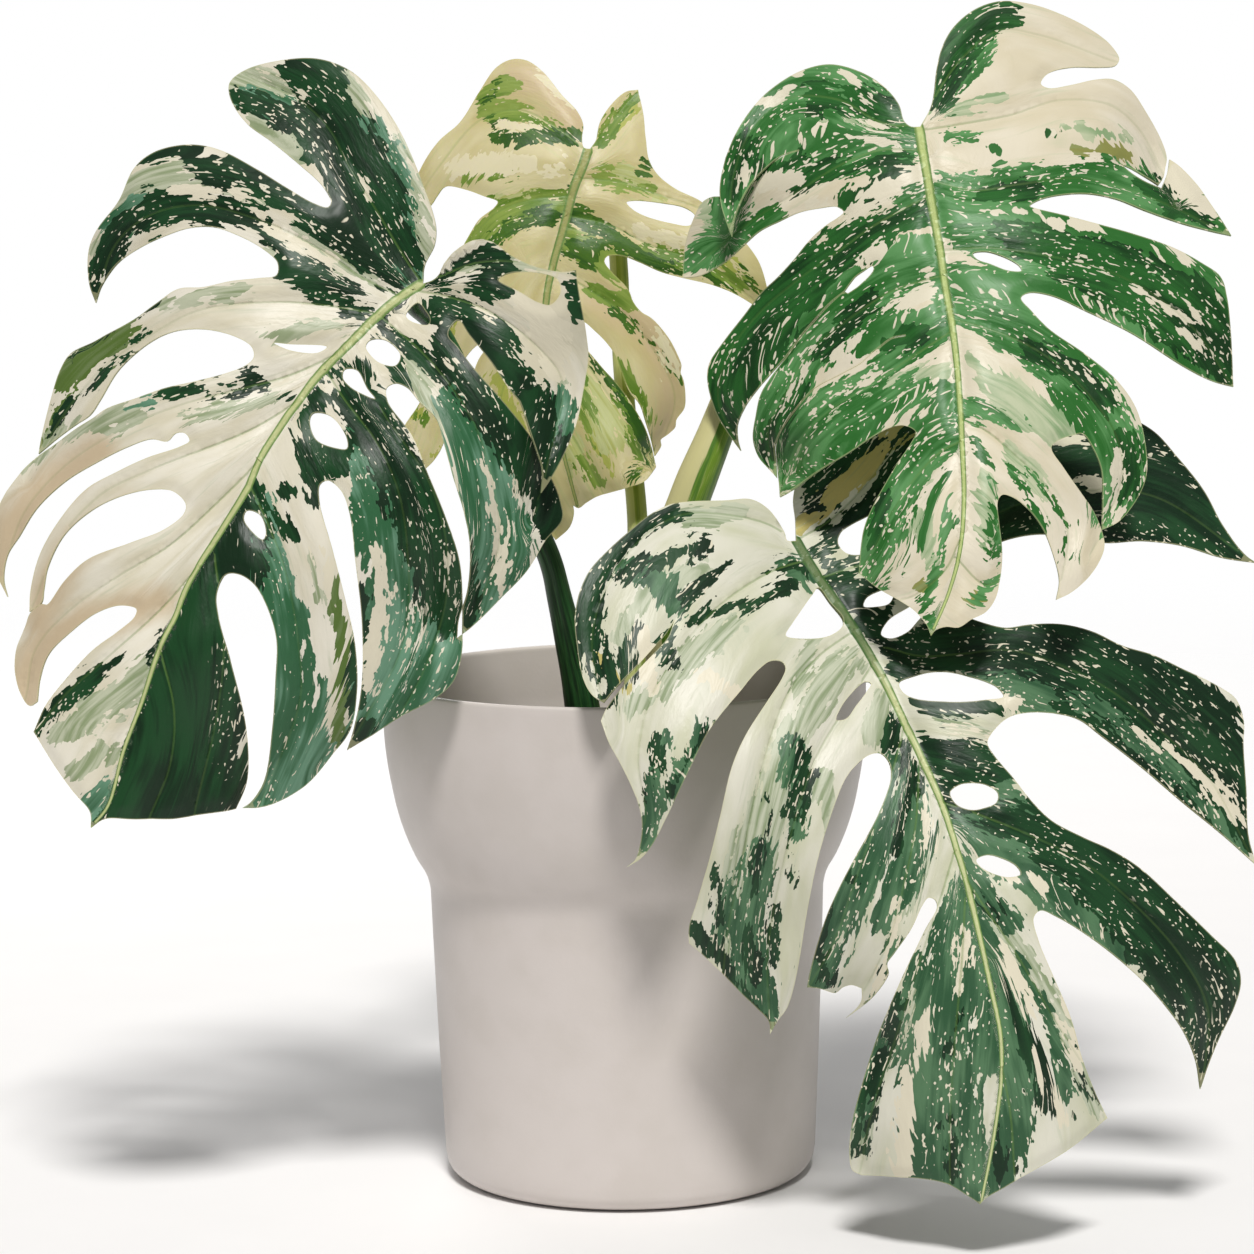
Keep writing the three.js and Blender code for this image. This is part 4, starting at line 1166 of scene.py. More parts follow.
@dataclass
class Blade:
    """One cut leaf blade: a closed thin solid with sunken veins, raised between them.

    Sizes are in millimetres, but the mesh's steps are in photo points, and so are the two shifts
    that keep one vein's pattern from the next one's (lane) and left from right (apart).
    """

    drawing: LeafDrawing
    thickness: float = 0.62
    mm_per_point: float = 0.396
    edge_step: float = 3.2
    cell: float = 4.4
    rib_half_width: float = 2.1
    rib_height: float = 1.5
    rib_reach: float = 3.6
    rib_crown: float = 0.9
    rib_taper: float = 0.72
    vein_sink: float = 0.6
    vein_width: float = 0.9
    pillow: float = 1.1
    pillow_width: float = 4.2
    fold: float = 2.0
    fold_width: float = 13.0
    lane: float = 52.0
    apart: float = 150.0

    def __post_init__(self) -> None:
        """Bends the plate and reads the veins."""
        self.plate = BentPlate(read_points(self.drawing.depths))
        self.midrib = smooth_run(read_points(self.drawing.midrib), 6.0)
        self.veins = [[smooth_run(read_points(v), 6.0) for v in side]
                      for side in (self.drawing.left_veins, self.drawing.right_veins)]

    def seat(self, joint: tuple[float, float]) -> tuple[np.ndarray, np.ndarray]:
        """Where a stalk meets the blade.

        Args:
            joint: the drawn point.

        Returns:
            The place in millimetres, and the blade's normal toward the viewer.
        """
        drawn = np.array([joint, (joint[0] + 4, joint[1]), (joint[0], joint[1] + 4)], float)
        spot = VIEW.spot(drawn, self.plate.depth(drawn))
        normal = np.cross(spot[2] - spot[0], spot[1] - spot[0])
        return spot[0], normal / np.linalg.norm(normal)

    def edge_of(self, runs: tuple[str, ...]) -> np.ndarray:
        """The closed edge of a blade part, from smooth runs that meet at corners.

        Args:
            runs: each run's points; a run goes on from the last one's corner.

        Returns:
            Rows of x and y, with the first point not repeated.
        """
        edge: list[np.ndarray] = []
        corner = None
        for run in runs:
            points = read_points(run)
            whole = points if corner is None else np.vstack([corner, points])
            line = smooth_run(whole, self.edge_step) if len(whole) > 1 else whole
            edge += list(line if corner is None else line[1:])
            corner = points[-1]
        if np.linalg.norm(edge[0] - corner) < 1e-6:
            return np.array(edge[:-1])
        return np.array(edge + list(smooth_run(np.array([corner, edge[0]]), self.edge_step))[1:-1])

    def closed_run(self, text: str) -> np.ndarray:
        """A smooth closed loop through a hole's points."""
        return smooth_run(read_points(text), self.edge_step, closed=True)

    def field_points(self, loops: list[np.ndarray]) -> np.ndarray:
        """Points inside a blade part: rows along the veins and an even field between them.

        Args:
            loops: the outer edge and the holes.

        Returns:
            Rows of x and y.
        """
        lines = [self.midrib] + self.veins[0] + self.veins[1]
        low, high = loops[0].min(axis=0), loops[0].max(axis=0)
        grid = []
        for row, y in enumerate(np.arange(low[1], high[1], self.cell * 0.866)):
            xs = np.arange(low[0] + (row % 2) * self.cell / 2, high[0], self.cell)
            grid.append(np.column_stack([xs, np.full(len(xs), y)]))
        grid = np.vstack(grid)
        keep = np.ones(len(grid), bool)
        for line in lines:
            keep &= near_line(grid, line)[0] > self.cell * 0.62
        rows = [smooth_run(line, self.cell) for line in lines]
        found = np.vstack([grid[keep]] + rows)
        found = found[is_inside(found, loops[0])]
        for hole in loops[1:]:
            found = found[~is_inside(found, hole)]
        sides = np.vstack([np.stack([loop, np.roll(loop, -1, axis=0)], axis=1) for loop in loops])
        return found[near_sides(found, sides) > self.cell * 0.5]

    def triangles_of(self, loops: list[np.ndarray]) -> tuple[np.ndarray, np.ndarray]:
        """Triangulates a blade part.

        Args:
            loops: the outer edge and the holes.

        Returns:
            Points, and triangles that turn alike.
        """
        rim = np.vstack(loops)
        sides = []
        start = 0
        for loop in loops:
            count = len(loop)
            sides += [(start + k, start + (k + 1) % count) for k in range(count)]
            start += count
        points = np.vstack([rim, self.field_points(loops)])
        out = delaunay_2d_cdt([Vector(p) for p in points], sides, [], 1, 1e-5)
        places = np.array([tuple(v) for v in out[0]])
        faces = np.array([face for face in out[2] if len(face) == 3])
        a, b, c = (places[faces[:, k]] for k in range(3))
        turn = (b[:, 0] - a[:, 0]) * (c[:, 1] - a[:, 1]) - (b[:, 1] - a[:, 1]) * (c[:, 0] - a[:, 0])
        faces[turn < -1e-6] = faces[turn < -1e-6][:, ::-1]
        # A sliver lies on the edge itself, so that only the others can be asked where they lie.
        middle = places[faces].mean(axis=1)
        keep = is_inside(middle, loops[0]) | (np.abs(turn) < 1e-3)
        for hole in loops[1:]:
            keep &= ~is_inside(middle, hole)
        return places, faces[keep]

    def lay_out(self) -> tuple[np.ndarray, np.ndarray, np.ndarray, np.ndarray]:
        """Draws the whole blade flat, each flap joined to it along its cut.

        Returns:
            Drawn points, triangles, each point's lift toward the viewer in millimetres, and its
            blade part.
        """
        charts = [(self.drawing.outline, self.drawing.holes, 0.0)]
        charts += [(flap.outline, (), flap.lift) for flap in self.drawing.flaps]
        points, faces, lifts, parts = [], [], [], []
        for part, (runs, holes, lift) in enumerate(charts):
            edge = self.edge_of(runs)
            cut = read_points(runs[0])[0], read_points(runs[-1])[-1]
            places, triangles = self.triangles_of([edge] + [self.closed_run(h) for h in holes])
            rise = np.zeros(len(places))
            if lift:
                away = near_sides(places, np.array([cut]))
                rise = lift * smooth_step(away / away.max())
            index = []
            known = np.array(points)
            for place, up in zip(places, rise):
                if lift and up < 1e-6:
                    gaps = np.linalg.norm(known - place, axis=1)
                    if gaps.min() < 0.05:
                        index.append(int(gaps.argmin()))
                        continue
                index.append(len(points))
                points.append(place)
                lifts.append(up)
                parts.append(part)
            faces.append(np.array(index)[triangles])
        return np.array(points), np.vstack(faces), np.array(lifts), np.array(parts)

    def is_left(self, points: np.ndarray) -> np.ndarray:
        """Whether each point lies on the drawn left side of the midrib."""
        return near_line(points, self.midrib)[2] < 0

    def flow(self, points: np.ndarray) -> tuple[np.ndarray, np.ndarray]:
        """Place along and across the veins, and distance to the nearest vein.

        Each vein lends the tissue beside it its own direction, and two neighbours' directions
        pass into each other halfway between them.

        Args:
            points: drawn points.

        Returns:
            Rows of along, across and side in millimetres, and distances in millimetres.
        """
        is_left = self.is_left(points)
        out = np.zeros((len(points), 3))
        out[:, 2] = np.where(is_left, 0.0, self.apart)
        nearest = np.full(len(points), np.inf)
        for chosen, veins, step in ((is_left, self.veins[0], self.lane),
                                    (~is_left, self.veins[1], -self.lane)):
            spots = points[chosen]
            if not len(spots):
                continue
            places = [near_line(spots, self.drawn_on(vein))[:3] for vein in veins]
            gaps = np.array([gap for gap, _, _ in places])
            near = np.array([(along, side * gap) for gap, along, side in places])
            near[:, 1] += np.arange(len(veins))[:, None] * step
            count = len(veins)
            first = gaps.argmin(axis=0)
            spot = np.arange(len(spots))
            lower = np.where(first > 0, gaps[np.maximum(first - 1, 0), spot], np.inf)
            upper = np.where(first < count - 1,
                             gaps[np.minimum(first + 1, count - 1), spot], np.inf)
            second = np.where(upper < lower, first + 1, first - 1).clip(0, count - 1)
            one, two = gaps[first, spot], gaps[second, spot]
            share = smooth_step((one / (one + two + 1e-6) - 0.3) / 0.4)[:, None]
            out[chosen, :2] = near[first, :, spot] * (1 - share) + near[second, :, spot] * share
            nearest[chosen] = one
        return out * self.mm_per_point, nearest * self.mm_per_point

    def drawn_on(self, vein: np.ndarray) -> np.ndarray:
        """The vein carried on straight for 30 points before its start and past its end.

        Args:
            vein: rows of x and y.

        Returns:
            The longer line.
        """
        before, after = vein[0] - vein[1], vein[-1] - vein[-2]
        before, after = (30 * v / np.linalg.norm(v) for v in (before, after))
        return np.vstack([vein[0] + before, vein, vein[-1] + after])

    def build_mesh(self) -> Mesh:
        """Makes the solid with the values that its skin reads.

        Returns:
            The mesh, in metres.
        """
        points, faces, lifts, parts = self.lay_out()
        scale = self.mm_per_point
        flow, vein = self.flow(points)
        rib, rib_along = near_line(points, self.midrib)[:2]
        rib = rib * scale
        length = near_line(self.midrib[-1:], self.midrib)[1][0]
        taper = 1 - self.rib_taper * rib_along / length
        sides = np.sort(np.vstack([faces[:, [0, 1]], faces[:, [1, 2]], faces[:, [2, 0]]]), axis=1)
        once, counts = np.unique(sides, axis=0, return_counts=True)
        rim = once[counts == 1]
        edge = np.zeros(len(points))
        for part in np.unique(parts):
            own = rim[(parts[rim] == part).any(axis=1)]
            edge[parts == part] = near_sides(points[parts == part], points[own]) * scale
        middle = VIEW.spot(points, self.plate.depth(points) + lifts)
        middle = middle + self.normals(middle, faces) * self.relief(vein, rib, edge)[:, None]
        normal = self.normals(middle, faces)
        near_rib = 1 - smooth_step(rib / (self.rib_reach * taper))
        fade = smooth_step((rib_along * scale - 4) / 14) * smooth_step((1 - rib_along / length) / 0.2)
        crown = self.rib_crown * taper * (1 - smooth_step(rib / (self.rib_half_width * taper)))
        top = middle + normal * (self.thickness / 2 + crown * smooth_step(edge))[:, None]
        under = middle - normal * (self.thickness / 2 + self.rib_height * near_rib * fade)[:, None]
        count = len(points)
        borders = self.directed(faces, rim)
        walls = [(a, b, b + count, a + count) for a, b in borders]
        mesh = bpy.data.meshes.new(self.drawing.name)
        mesh.from_pydata([tuple(p * MM) for p in np.vstack([top, under])], [],
                         faces[:, ::-1].tolist() + (faces + count).tolist() + walls)
        mesh.shade_smooth()
        mesh.set_sharp_from_angle(angle=math.radians(50))
        numbers = {"vein": vein, "edge": edge, "rib": rib / (self.rib_half_width * taper),
                   "along": rib_along / length}
        for tone in Tone:
            numbers[tone.value] = self.reach_of(tone, points)
        for name, values in numbers.items():
            store(mesh, name, np.tile(values, 2))
        store(mesh, "face", np.repeat([0.0, 1.0], count))
        store(mesh, "flow", np.vstack([flow, flow]))
        return mesh

    def relief(self, vein: np.ndarray, rib: np.ndarray, edge: np.ndarray) -> np.ndarray:
        """How far the tissue rises between its sunken veins.

        Args:
            vein: distance of each point from the nearest side vein, in millimetres.
            rib: distance from the midrib.
            edge: distance from the blade's edge.

        Returns:
            The rise in millimetres.
        """
        open_skin = smooth_step(edge / 5.0) * smooth_step((rib - 1.0) / 5.0)
        rise = self.pillow * open_skin * (1 - np.exp(-(vein / self.pillow_width) ** 2))
        beyond_rib = smooth_step((rib - 1.0) / 9.0)
        rise += self.fold * beyond_rib * (1 - np.exp(-(vein / self.fold_width) ** 2))
        sunk = smooth_step(edge / 3.0) * np.exp(-(vein / self.vein_width) ** 2)
        return rise - self.vein_sink * sunk

    def normals(self, places: np.ndarray, faces: np.ndarray) -> np.ndarray:
        """Unit normals toward the viewer.

        Args:
            places: points in space.
            faces: triangles.

        Returns:
            One normal a point.
        """
        a, b, c = (places[faces[:, k]] for k in range(3))
        turned = np.cross(c - a, b - a)
        out = np.zeros_like(places)
        for k in range(3):
            np.add.at(out, faces[:, k], turned)
        return out / np.linalg.norm(out, axis=1)[:, None]

    def directed(self, faces: np.ndarray, rim: np.ndarray) -> list[tuple[int, int]]:
        """The rim's sides in the direction in which their faces run.

        Args:
            faces: triangles.
            rim: sides that only one triangle has.

        Returns:
            Pairs of point numbers.
        """
        wanted = {tuple(side) for side in rim.tolist()}
        found = []
        for face in faces.tolist():
            for a, b in zip(face, face[1:] + face[:1]):
                if (min(a, b), max(a, b)) in wanted:
                    found.append((a, b))
        return found

    def reach_of(self, tone: Tone, points: np.ndarray) -> np.ndarray:
        """How far inside a tissue's drawn strokes each point is, in mm, below zero outside.

        A stroke stays on its own side of the midrib, where its field falls off steeply.

        Args:
            tone: the tissue.
            points: drawn points.

        Returns:
            One distance a point.
        """
        inside = np.full(len(points), -30.0)
        gap, _, side, _ = near_line(points, self.midrib)
        off = -side * gap * self.mm_per_point
        for stroke in filter(None, self.drawing.marks.get(tone, "").split("/")):
            letter, text = stroke.split(":")
            line = read_points(text)
            if len(line) == 1:
                line = np.vstack([line, line + [0.5, 0, 0]])
            reach = -near_line(points, line)[3] * self.mm_per_point
            own = 5.0 * (off if letter.strip() == "L" else -off) + 1.5
            inside = np.maximum(inside, np.minimum(reach, own))
        grown = inside + tone.spread
        return np.minimum(grown, 0.8 * self.drawing.skin.knee + 0.2 * grown)

    def build(self) -> None:
        """Builds the blade and puts its skin on."""
        finish_piece(self.drawing.name, self.build_mesh(), self.drawing.skin.make(),
                     self.drawing.node)


LEAF_A = LeafDrawing(
    name="blade_left",
    node="leaf_a",
    slot="blade_dark",
    outline=(
        """423,284 425,266 436,246 438,230 434,212 426,190 414,160 396,124 370,89 350,72 320,61 280,62
    244,71 230,84 232,102 248,126 272,144 300,167 322,187 331,204 328,209 314,205 286,189 260,173 224,154
    200,148 176,149 154,156 137,170 121,201 98,231 90,252 90,284 96,303""",
        """102,286 118,264 140,249 166,237 190,229 214,228 238,236 262,249 278,264 277,276 260,279
    232,282 204,288 180,290 157,305 136,320 98,341 74,354 63,370 51,404 42,438 39,454""",
        """56,440 76,426 92,416 102,401 120,370 150,343 174,332 204,330 234,337 252,348 254,358 246,366
    226,374 196,382 166,389 138,399 108,410 95,419 77,430 57,444 38,457 24,470 10,490 -2,515 -5,545
    -2,575 8,597""",
        """4,580 8,555 20,536 38,508 66,482 96,464 128,448 152,440 168,442 177,434 186,434 190,441
    180,447 148,458 116,473 88,489 62,518 41,554 31,592 30,612""",
        """42,603 44,590 48,568 64,536 90,512 120,497 152,490 174,492 186,504 184,514 164,530 132,543
    90,560 66,582 48,605 43,604 31,613 26,626 18,648 16,672 22,696 30,706 38,702""",
        "41,678 50,654 72,632 96,614 120,606 137,609 135,617 118,632 94,650 66,680 46,706 34,732",
        "46,750 74,789 90,810 91,828",
        "105,819 140,819 176,818 208,813 234,808",
        """245,782 247,752 244,716 231,662 219,618 217,594 226,575 240,575 254,584 265,602 276,638
    275,680 272,728 264,782 251,802 242,808""",
        """262,807 286,797 312,778 333,753 350,730 357,690 355,642 345,596 333,548 321,502 322,486
    330,482 343,492 351,514 356,560 362,620 362,680 354,728 347,750""",
        """370,736 398,718 434,698 452,681 460,654 462,600 459,560 446,518 429,476 412,436 388,402
    387,389 396,385 408,390 419,403 436,420 442,440 452,476 463,512 469,545 467,590 458,620 456,639""",
        """476,623 502,596 524,572 543,542 561,520 559,500 551,478 541,458 531,440 520,425 500,400
    476,372 458,348 449,336 459,321 470,336 490,362 508,390 518,402""",
        "583,388",
        "587,358 585,336 578,290 576,270",
        "564,272 536,267 512,256 492,242 476,242 452,257 435,279 423,284",
    ),
    flaps=(
        Flap(13.0, (
            "518,402",
            "521,410 530,436 536,452 542,470 541,493",
            "550,480 566,450 577,420 583,388",
        )),
    ),
    holes=(
        "418,303 406,316 411,322 429,326 431,321 426,312",
        "366,348 370,341 386,341 400,354 400,362 395,368 378,364",
        "343,378 345,370 358,372 368,390 375,399 354,390",
        "311,422 314,415 331,417 347,438 348,450 338,450 318,442",
        "244,518 247,511 260,515 266,534 263,540 249,528",
        "274,344 290,345 327,347 318,353 290,351",
        "499,280 512,273 545,274 558,280 560,292 550,304 538,302 520,292",
    ),
    midrib="""421,284 400,298 380,314 350,344 320,374 300,400 280,428 260,460 249,486 226,524 200,564
    186,590 176,616 160,648 142,702 124,750 108,806 91,827""",
    depths="""422,284,50 380,314,56 320,374,66 280,428,74 226,524,84 176,616,91 142,702,96 91,827,98
    400,200,40 340,110,22 300,65,10 240,85,6 330,205,44 300,225,47 200,205,32 130,190,17 100,250,10
    95,300,14 250,300,57 150,330,43 80,390,30 42,452,30 200,400,70 110,440,58 30,500,42 6,590,46
    170,465,77 90,510,67 33,605,60 150,550,85 80,595,76 22,680,66 130,655,93 60,715,86 36,733,82
    470,255,56 560,272,66 500,310,66 587,350,58 560,420,64 541,485,66 440,420,82 500,480,80 530,550,74
    457,635,78 380,450,88 420,560,92 450,650,84 349,748,78 290,560,92 340,620,90 330,740,80 244,800,76
    215,640,96 200,740,92 230,800,84""",
    left_veins=(
        "418,278 400,250 380,216 350,168 330,130 300,100 262,82",
        "400,296 360,276 340,262 300,238 260,220 200,205 150,215 115,245 96,300",
        "380,314 330,306 280,302 200,310 150,335 100,370 60,420 42,452",
        "345,350 290,375 180,405 120,430 60,470 20,520 3,590",
        "300,400 250,430 150,470 100,495 60,540 33,605",
        "262,458 220,500 170,545 120,575 70,610 35,650 26,696",
        "200,565 160,610 110,655 60,700 38,730",
    ),
    right_veins=(
        "423,286 450,272 480,262 520,262 572,272",
        "412,290 450,297 490,312 530,340 562,380 556,430 541,490",
        "380,316 420,350 450,385 475,425 490,470 500,540 484,592",
        "395,430 428,480 446,540 446,600 424,670 400,715",
        "324,368 345,400 375,440 398,490 408,560 404,640 350,745",
        "251,488 268,524 285,570 298,640 300,700 262,800",
        "215,560 224,640 216,720 196,806",
        "160,650 174,710 170,765 150,816",
    ),
    marks={
        # Painted shade: brownish on the cream ends of the left lobes, where they curl away from the light.
        Tone.TAN: """L:100,450,12 50,490,16 15,530,18 2,575,14/L:130,510,9 80,545,14 50,590,14
    40,625,10/L:160,600,10 90,622,14 50,645,18 30,675,18 25,700,14""",
        Tone.GOLD: """R:332,574,1 340,620,5 344,680,6 338,738,3/L:62,384,9 78,366,12 104,348,14
    134,328,9/L:48,440,6 60,412,6""",
        Tone.SAGE: """L:246,80,18 276,98,16/L:262,128,13 300,156,13/L:400,150,8 420,200,9
    432,250,8/L:130,190,13 175,176,13 210,180,9/L:100,250,8 122,212,10/L:230,190,6 262,206,6/L:165,305,6
    205,295,6 250,292,5/L:25,470,5 52,440,7 88,427,7 124,412,8/L:140,418,8 108,432,6/L:190,422,5
    236,410,6 272,400,5/L:250,262,5 282,246,5/L:60,735,9 95,714,15 130,690,14 152,662,9/L:76,772,9
    108,756,12/R:406,350,5 418,376,9 430,405,9 438,430,5/R:470,262,8 520,262,7 545,268,5/R:548,350,5
    562,384,5/L:300,232,6 330,256,8 370,280,7/L:262,338,6 300,330,6 340,330,5/R:310,560,3
    330,620,4/L:345,80,7 372,130,7 392,170,6""",
        # Partly painted sheen: these mid-green strokes lie where the right lobes show a teal sheen at their
        # lower parts.
        Tone.MID: """R:262,512,8 268,548,12 280,600,15 290,660,18 299,720,24 294,772,32/R:276,792,12
    256,803,8 240,807,5/R:356,440,7 372,492,15 385,560,22 390,620,22 376,700,17 362,735,8/R:450,640,22
    425,692,17 395,724,12/R:448,400,9 468,440,17 484,490,20 500,545,24 500,592,22 475,625,12/L:88,800,5
    96,820,6 110,790,5/R:560,400,5 566,430,4/L:150,402,-2 130,410,-3/L:398,240,12 412,270,8/L:250,98,6
    280,112,6/L:118,225,5 140,206,5/L:376,130,6 396,180,9 402,215,9/R:455,600,10 462,625,8""",
        Tone.DARK: """L:318,74,24 326,120,30 346,156,31 370,200,29 396,245,17
    414,276,6/L:300,72,12/L:236,101,5 262,107,7 288,122,10/L:146,156,5 175,150,7 200,155,7/L:200,165,8
    235,180,10 256,190,8/L:240,160,6 265,182,9 290,202,10 320,220,12 350,244,11 380,270,8
    400,285,4/L:155,205,9 195,206,10 225,214,9 255,222,7 280,238,5/L:96,290,5 106,260,8 130,225,10
    160,212,9/L:288,268,8 306,271,13 326,285,11 348,294,6/L:348,312,4 368,314,6/L:72,352,1 100,334,0
    130,316,2 152,306,2/L:60,412,-2 88,392,-2 115,366,-3 148,330,-3/L:46,436,-1 62,414,-1/L:160,398,-2
    186,394,-1 208,390,-2/L:240,370,1 252,379,3 264,391,-1/L:222,386,-2 246,393,-2/L:285,395,-4
    300,400,-4/L:36,732,3 60,705,5 80,690,5 102,671,3 116,663,1/L:148,655,0 160,642,1
    166,632,0/R:252,493,14 240,530,26 205,560,60 150,625,98 105,690,138 80,770,165
    60,820,175/R:274,494,-3 297,493,-1/R:274,510,-3 286,526,-1 298,537,-2/R:206,600,13 214,643,15
    228,698,16 231,748,16 224,803,12/R:316,404,7 305,426,6/R:312,455,7 336,463,9 352,442,6/R:345,400,11
    372,425,16 400,470,22 424,520,26 440,560,26 450,610,22/R:352,740,5 366,728,6/R:362,600,3
    358,700,6/R:380,328,4 415,350,7 440,366,9 456,376,7/R:450,345,10 468,375,16 500,410,22 525,450,24
    548,490,20 556,530,16/R:440,308,11 462,318,15 484,340,20 506,375,20 530,412,20 548,446,16
    548,475,10/R:438,276,8 455,256,9 476,251,9 500,262,9 505,286,9 480,294,7/R:575,280,5
    578,310,7/R:545,430,12 556,456,12 548,482,8/R:396,300,5 376,318,4/R:330,375,6 362,376,5/R:405,385,5
    398,362,4/R:352,390,7 385,410,6/R:310,430,5 316,500,5""",
        Tone.PALE: """R:378,550,4 381,600,8 376,650,9 368,690,6/R:484,455,3 490,490,4 498,530,6 500,560,5
    497,590,4/R:458,362,5/R:394,322,7 425,340,6/R:322,548,4 334,604,3/L:300,86,1 305,92,1/R:425,412,4
    440,442,3/L:365,180,1 372,196,1/R:447,560,1 452,600,1/L:180,192,5 215,196,4/L:240,196,3
    262,214,3/L:276,232,5 330,262,5/R:528,300,12 550,340,14 556,372,10/R:470,300,3 492,318,3""",
    },
    skin=BladeSkin("leaf blade, half variegated, satin cuticle", speck_share=0.5),
)

LEAF_B = LeafDrawing(
    name="blade_back",
    node="leaf_b",
    slot="blade_pale",
    outline=(
        """590,149 584,148 582,138 583,126 577,113 562,97 543,74 527,63 512,62 497,70 480,93 460,123
    440,141 425,162 414,186 406,212 404,226""",
        """418,218 432,205 438,196 446,187 468,191 485,197 498,202 494,208 480,219 469,236 455,264
    446,300 439,340 430,378 419,404 404,428 398,452 402,476""",
        """424,470 440,453 449,428 453,396 462,366 474,349 488,340 496,338 490,346 480,360 474,380
    476,402 490,436 512,474 534,508 548,530 556,540""",
        "570,527 574,514 573,505",
        "579,508 586,503 596,497 612,492 630,487 645,481 656,467",
        """651,448 645,430 637,414 620,388 604,370 587,350 576,338 574,328 582,322 594,331 605,342
    615,356 620,370 629,392 639,405 645,422 651,440 655,456""",
        """661,445 660,440 668,434 675,427 676,420 684,408 685,395 683,380 680,372 681,366 677,355
    668,338 652,319 641,312 633,302 629,292 624,285 611,272 604,262 607,257 620,256 640,263 660,272
    682,278 712,285 735,294 752,304 764,312""",
        "769,300 766,285 758,262 742,240 722,218 700,201 675,189 657,175 648,160 645,140 643,115 638,90",
        "626,92 611,105 600,122 596,140 590,149",
    ),
    flaps=(),
    holes=(
        "626,203 634,201 660,203 685,208 695,216 690,226 670,224 645,217 632,210",
    ),
    midrib="""588,150 583,165 575,185 563,230 553,265 547,295 545,330 547,370 554,410 563,450 571,480
    578,506""",
    depths="""588,150,-92 570,205,-84 553,265,-77 546,320,-70 548,400,-64 578,506,-62 520,75,-112
    480,120,-106 430,170,-104 406,220,-106 570,120,-98 480,215,-88 460,280,-84 440,370,-84 404,470,-86
    490,400,-74 635,95,-112 620,130,-102 700,205,-90 760,280,-84 640,240,-82 690,260,-82 766,308,-86
    630,300,-76 680,390,-78 655,455,-76 600,340,-70 600,420,-60 655,468,-60 640,440,-62 530,480,-66
    556,540,-70""",
    left_veins=(
        "587,152 560,130 520,110 480,120 440,165 408,215",
        "575,195 530,200 490,218 462,265 448,330 425,400 402,470",
        "546,350 510,375 500,410 520,460 556,535",
    ),
    right_veins=(
        "590,150 605,130 625,105 637,92",
        "580,178 620,182 660,195 700,208",
        "566,215 610,225 650,245 700,262 764,308",
        "553,268 590,290 625,315 660,360 675,400 657,455",
        "546,320 580,355 605,390 632,430 652,470",
        "550,400 575,440 600,488",
    ),
    marks={
        # Painted shade: brownish on the cream of the right lobe beside the pot and of the top left lobe.
        Tone.TAN: "R:600,300,10 650,330,12 672,370,10 668,430,10/L:520,80,10 550,85,12 575,120,10",
        Tone.GOLD: """L:452,300,8 442,340,8/L:500,380,6 522,430,6/R:575,380,2 596,440,3
    612,475,2/L:415,412,6/L:440,455,4/R:700,240,5 735,264,5/R:630,108,6 604,140,5/L:480,250,6""",
        Tone.SAGE: """R:562,480,8 575,440,7/L:500,200,5 540,196,5/R:600,400,8 640,450,8/R:585,390,14
    610,440,16/L:480,250,12/R:620,170,6 660,200,6""",
        Tone.MID: """L:480,110,2 494,94,4 510,84,2/L:486,112,1 520,118,2 560,132,1/L:560,206,4 520,214,8
    485,236,9 464,275,3/R:598,140,5 614,118,5 634,98,0/R:602,169,0 612,174,0/R:698,262,0
    742,284,0/R:592,290,0 612,300,2 636,306,0/R:558,330,0 580,380,1 592,440,1/L:474,206,-2 530,198,-2
    572,196,0/L:412,408,0 420,418,0/R:585,460,1 600,482,0/R:560,235,5 600,262,5 650,278,1/L:505,108,-1
    540,122,-1/R:640,250,1 690,262,1/R:600,180,-1 650,192,-1/L:470,180,-2 520,176,-2/R:620,360,-2
    650,420,-2/R:600,350,-3 630,420,-3 640,470,-3/R:575,400,-3 605,470,-3/L:450,290,-2 430,370,-2""",
        Tone.DARK: """L:500,143,1 540,137,2 585,141,1/L:491,122,-1 504,123,-1/R:575,212,4 600,236,7
    636,262,5 680,273,0/R:580,338,-1 612,384,-1 638,424,-1 652,462,-1/R:633,476,0/L:550,215,3 515,225,3
    488,245,-1/R:738,262,-2 756,290,-2/R:613,310,-2 645,342,-2 680,378,-2/R:641,171,-1
    648,174,-1/L:572,178,0 574,200,0/R:700,270,-2 735,292,-2/L:486,98,-1 500,86,-1/R:570,250,2
    590,262,3/R:648,168,-2""",
        Tone.PALE: """R:640,232,4 700,246,4/L:455,168,9 520,166,9 560,168,7/L:570,100,6
    545,72,10/R:660,320,6 672,370,6/L:500,130,3 540,128,3""",
    },
    # Painted light through the blade: its greens and creams are laid lighter and yellower, as in a leaf lit
    # from behind; the subsurface share adds a little real glow.
    skin=BladeSkin("leaf blade, mostly without green, seen against light",
                   cream="d6cba2", cream_low="c3b583", tan_shade="c9b391", gold="a9ad57", sage="bdc18c",
                   sage_low="a9ad66", mid="587a28", mid_sheen="869a4a", dark="264a14",
                   dark_sheen="3c6420", pale="e0d6b4", rib="a8a96a", margin="c9c27c",
                   under="b4b878", knee=1.6, tear=9.0, spray=4.2, speck_share=0.3,
                   light_through=0.2),
)

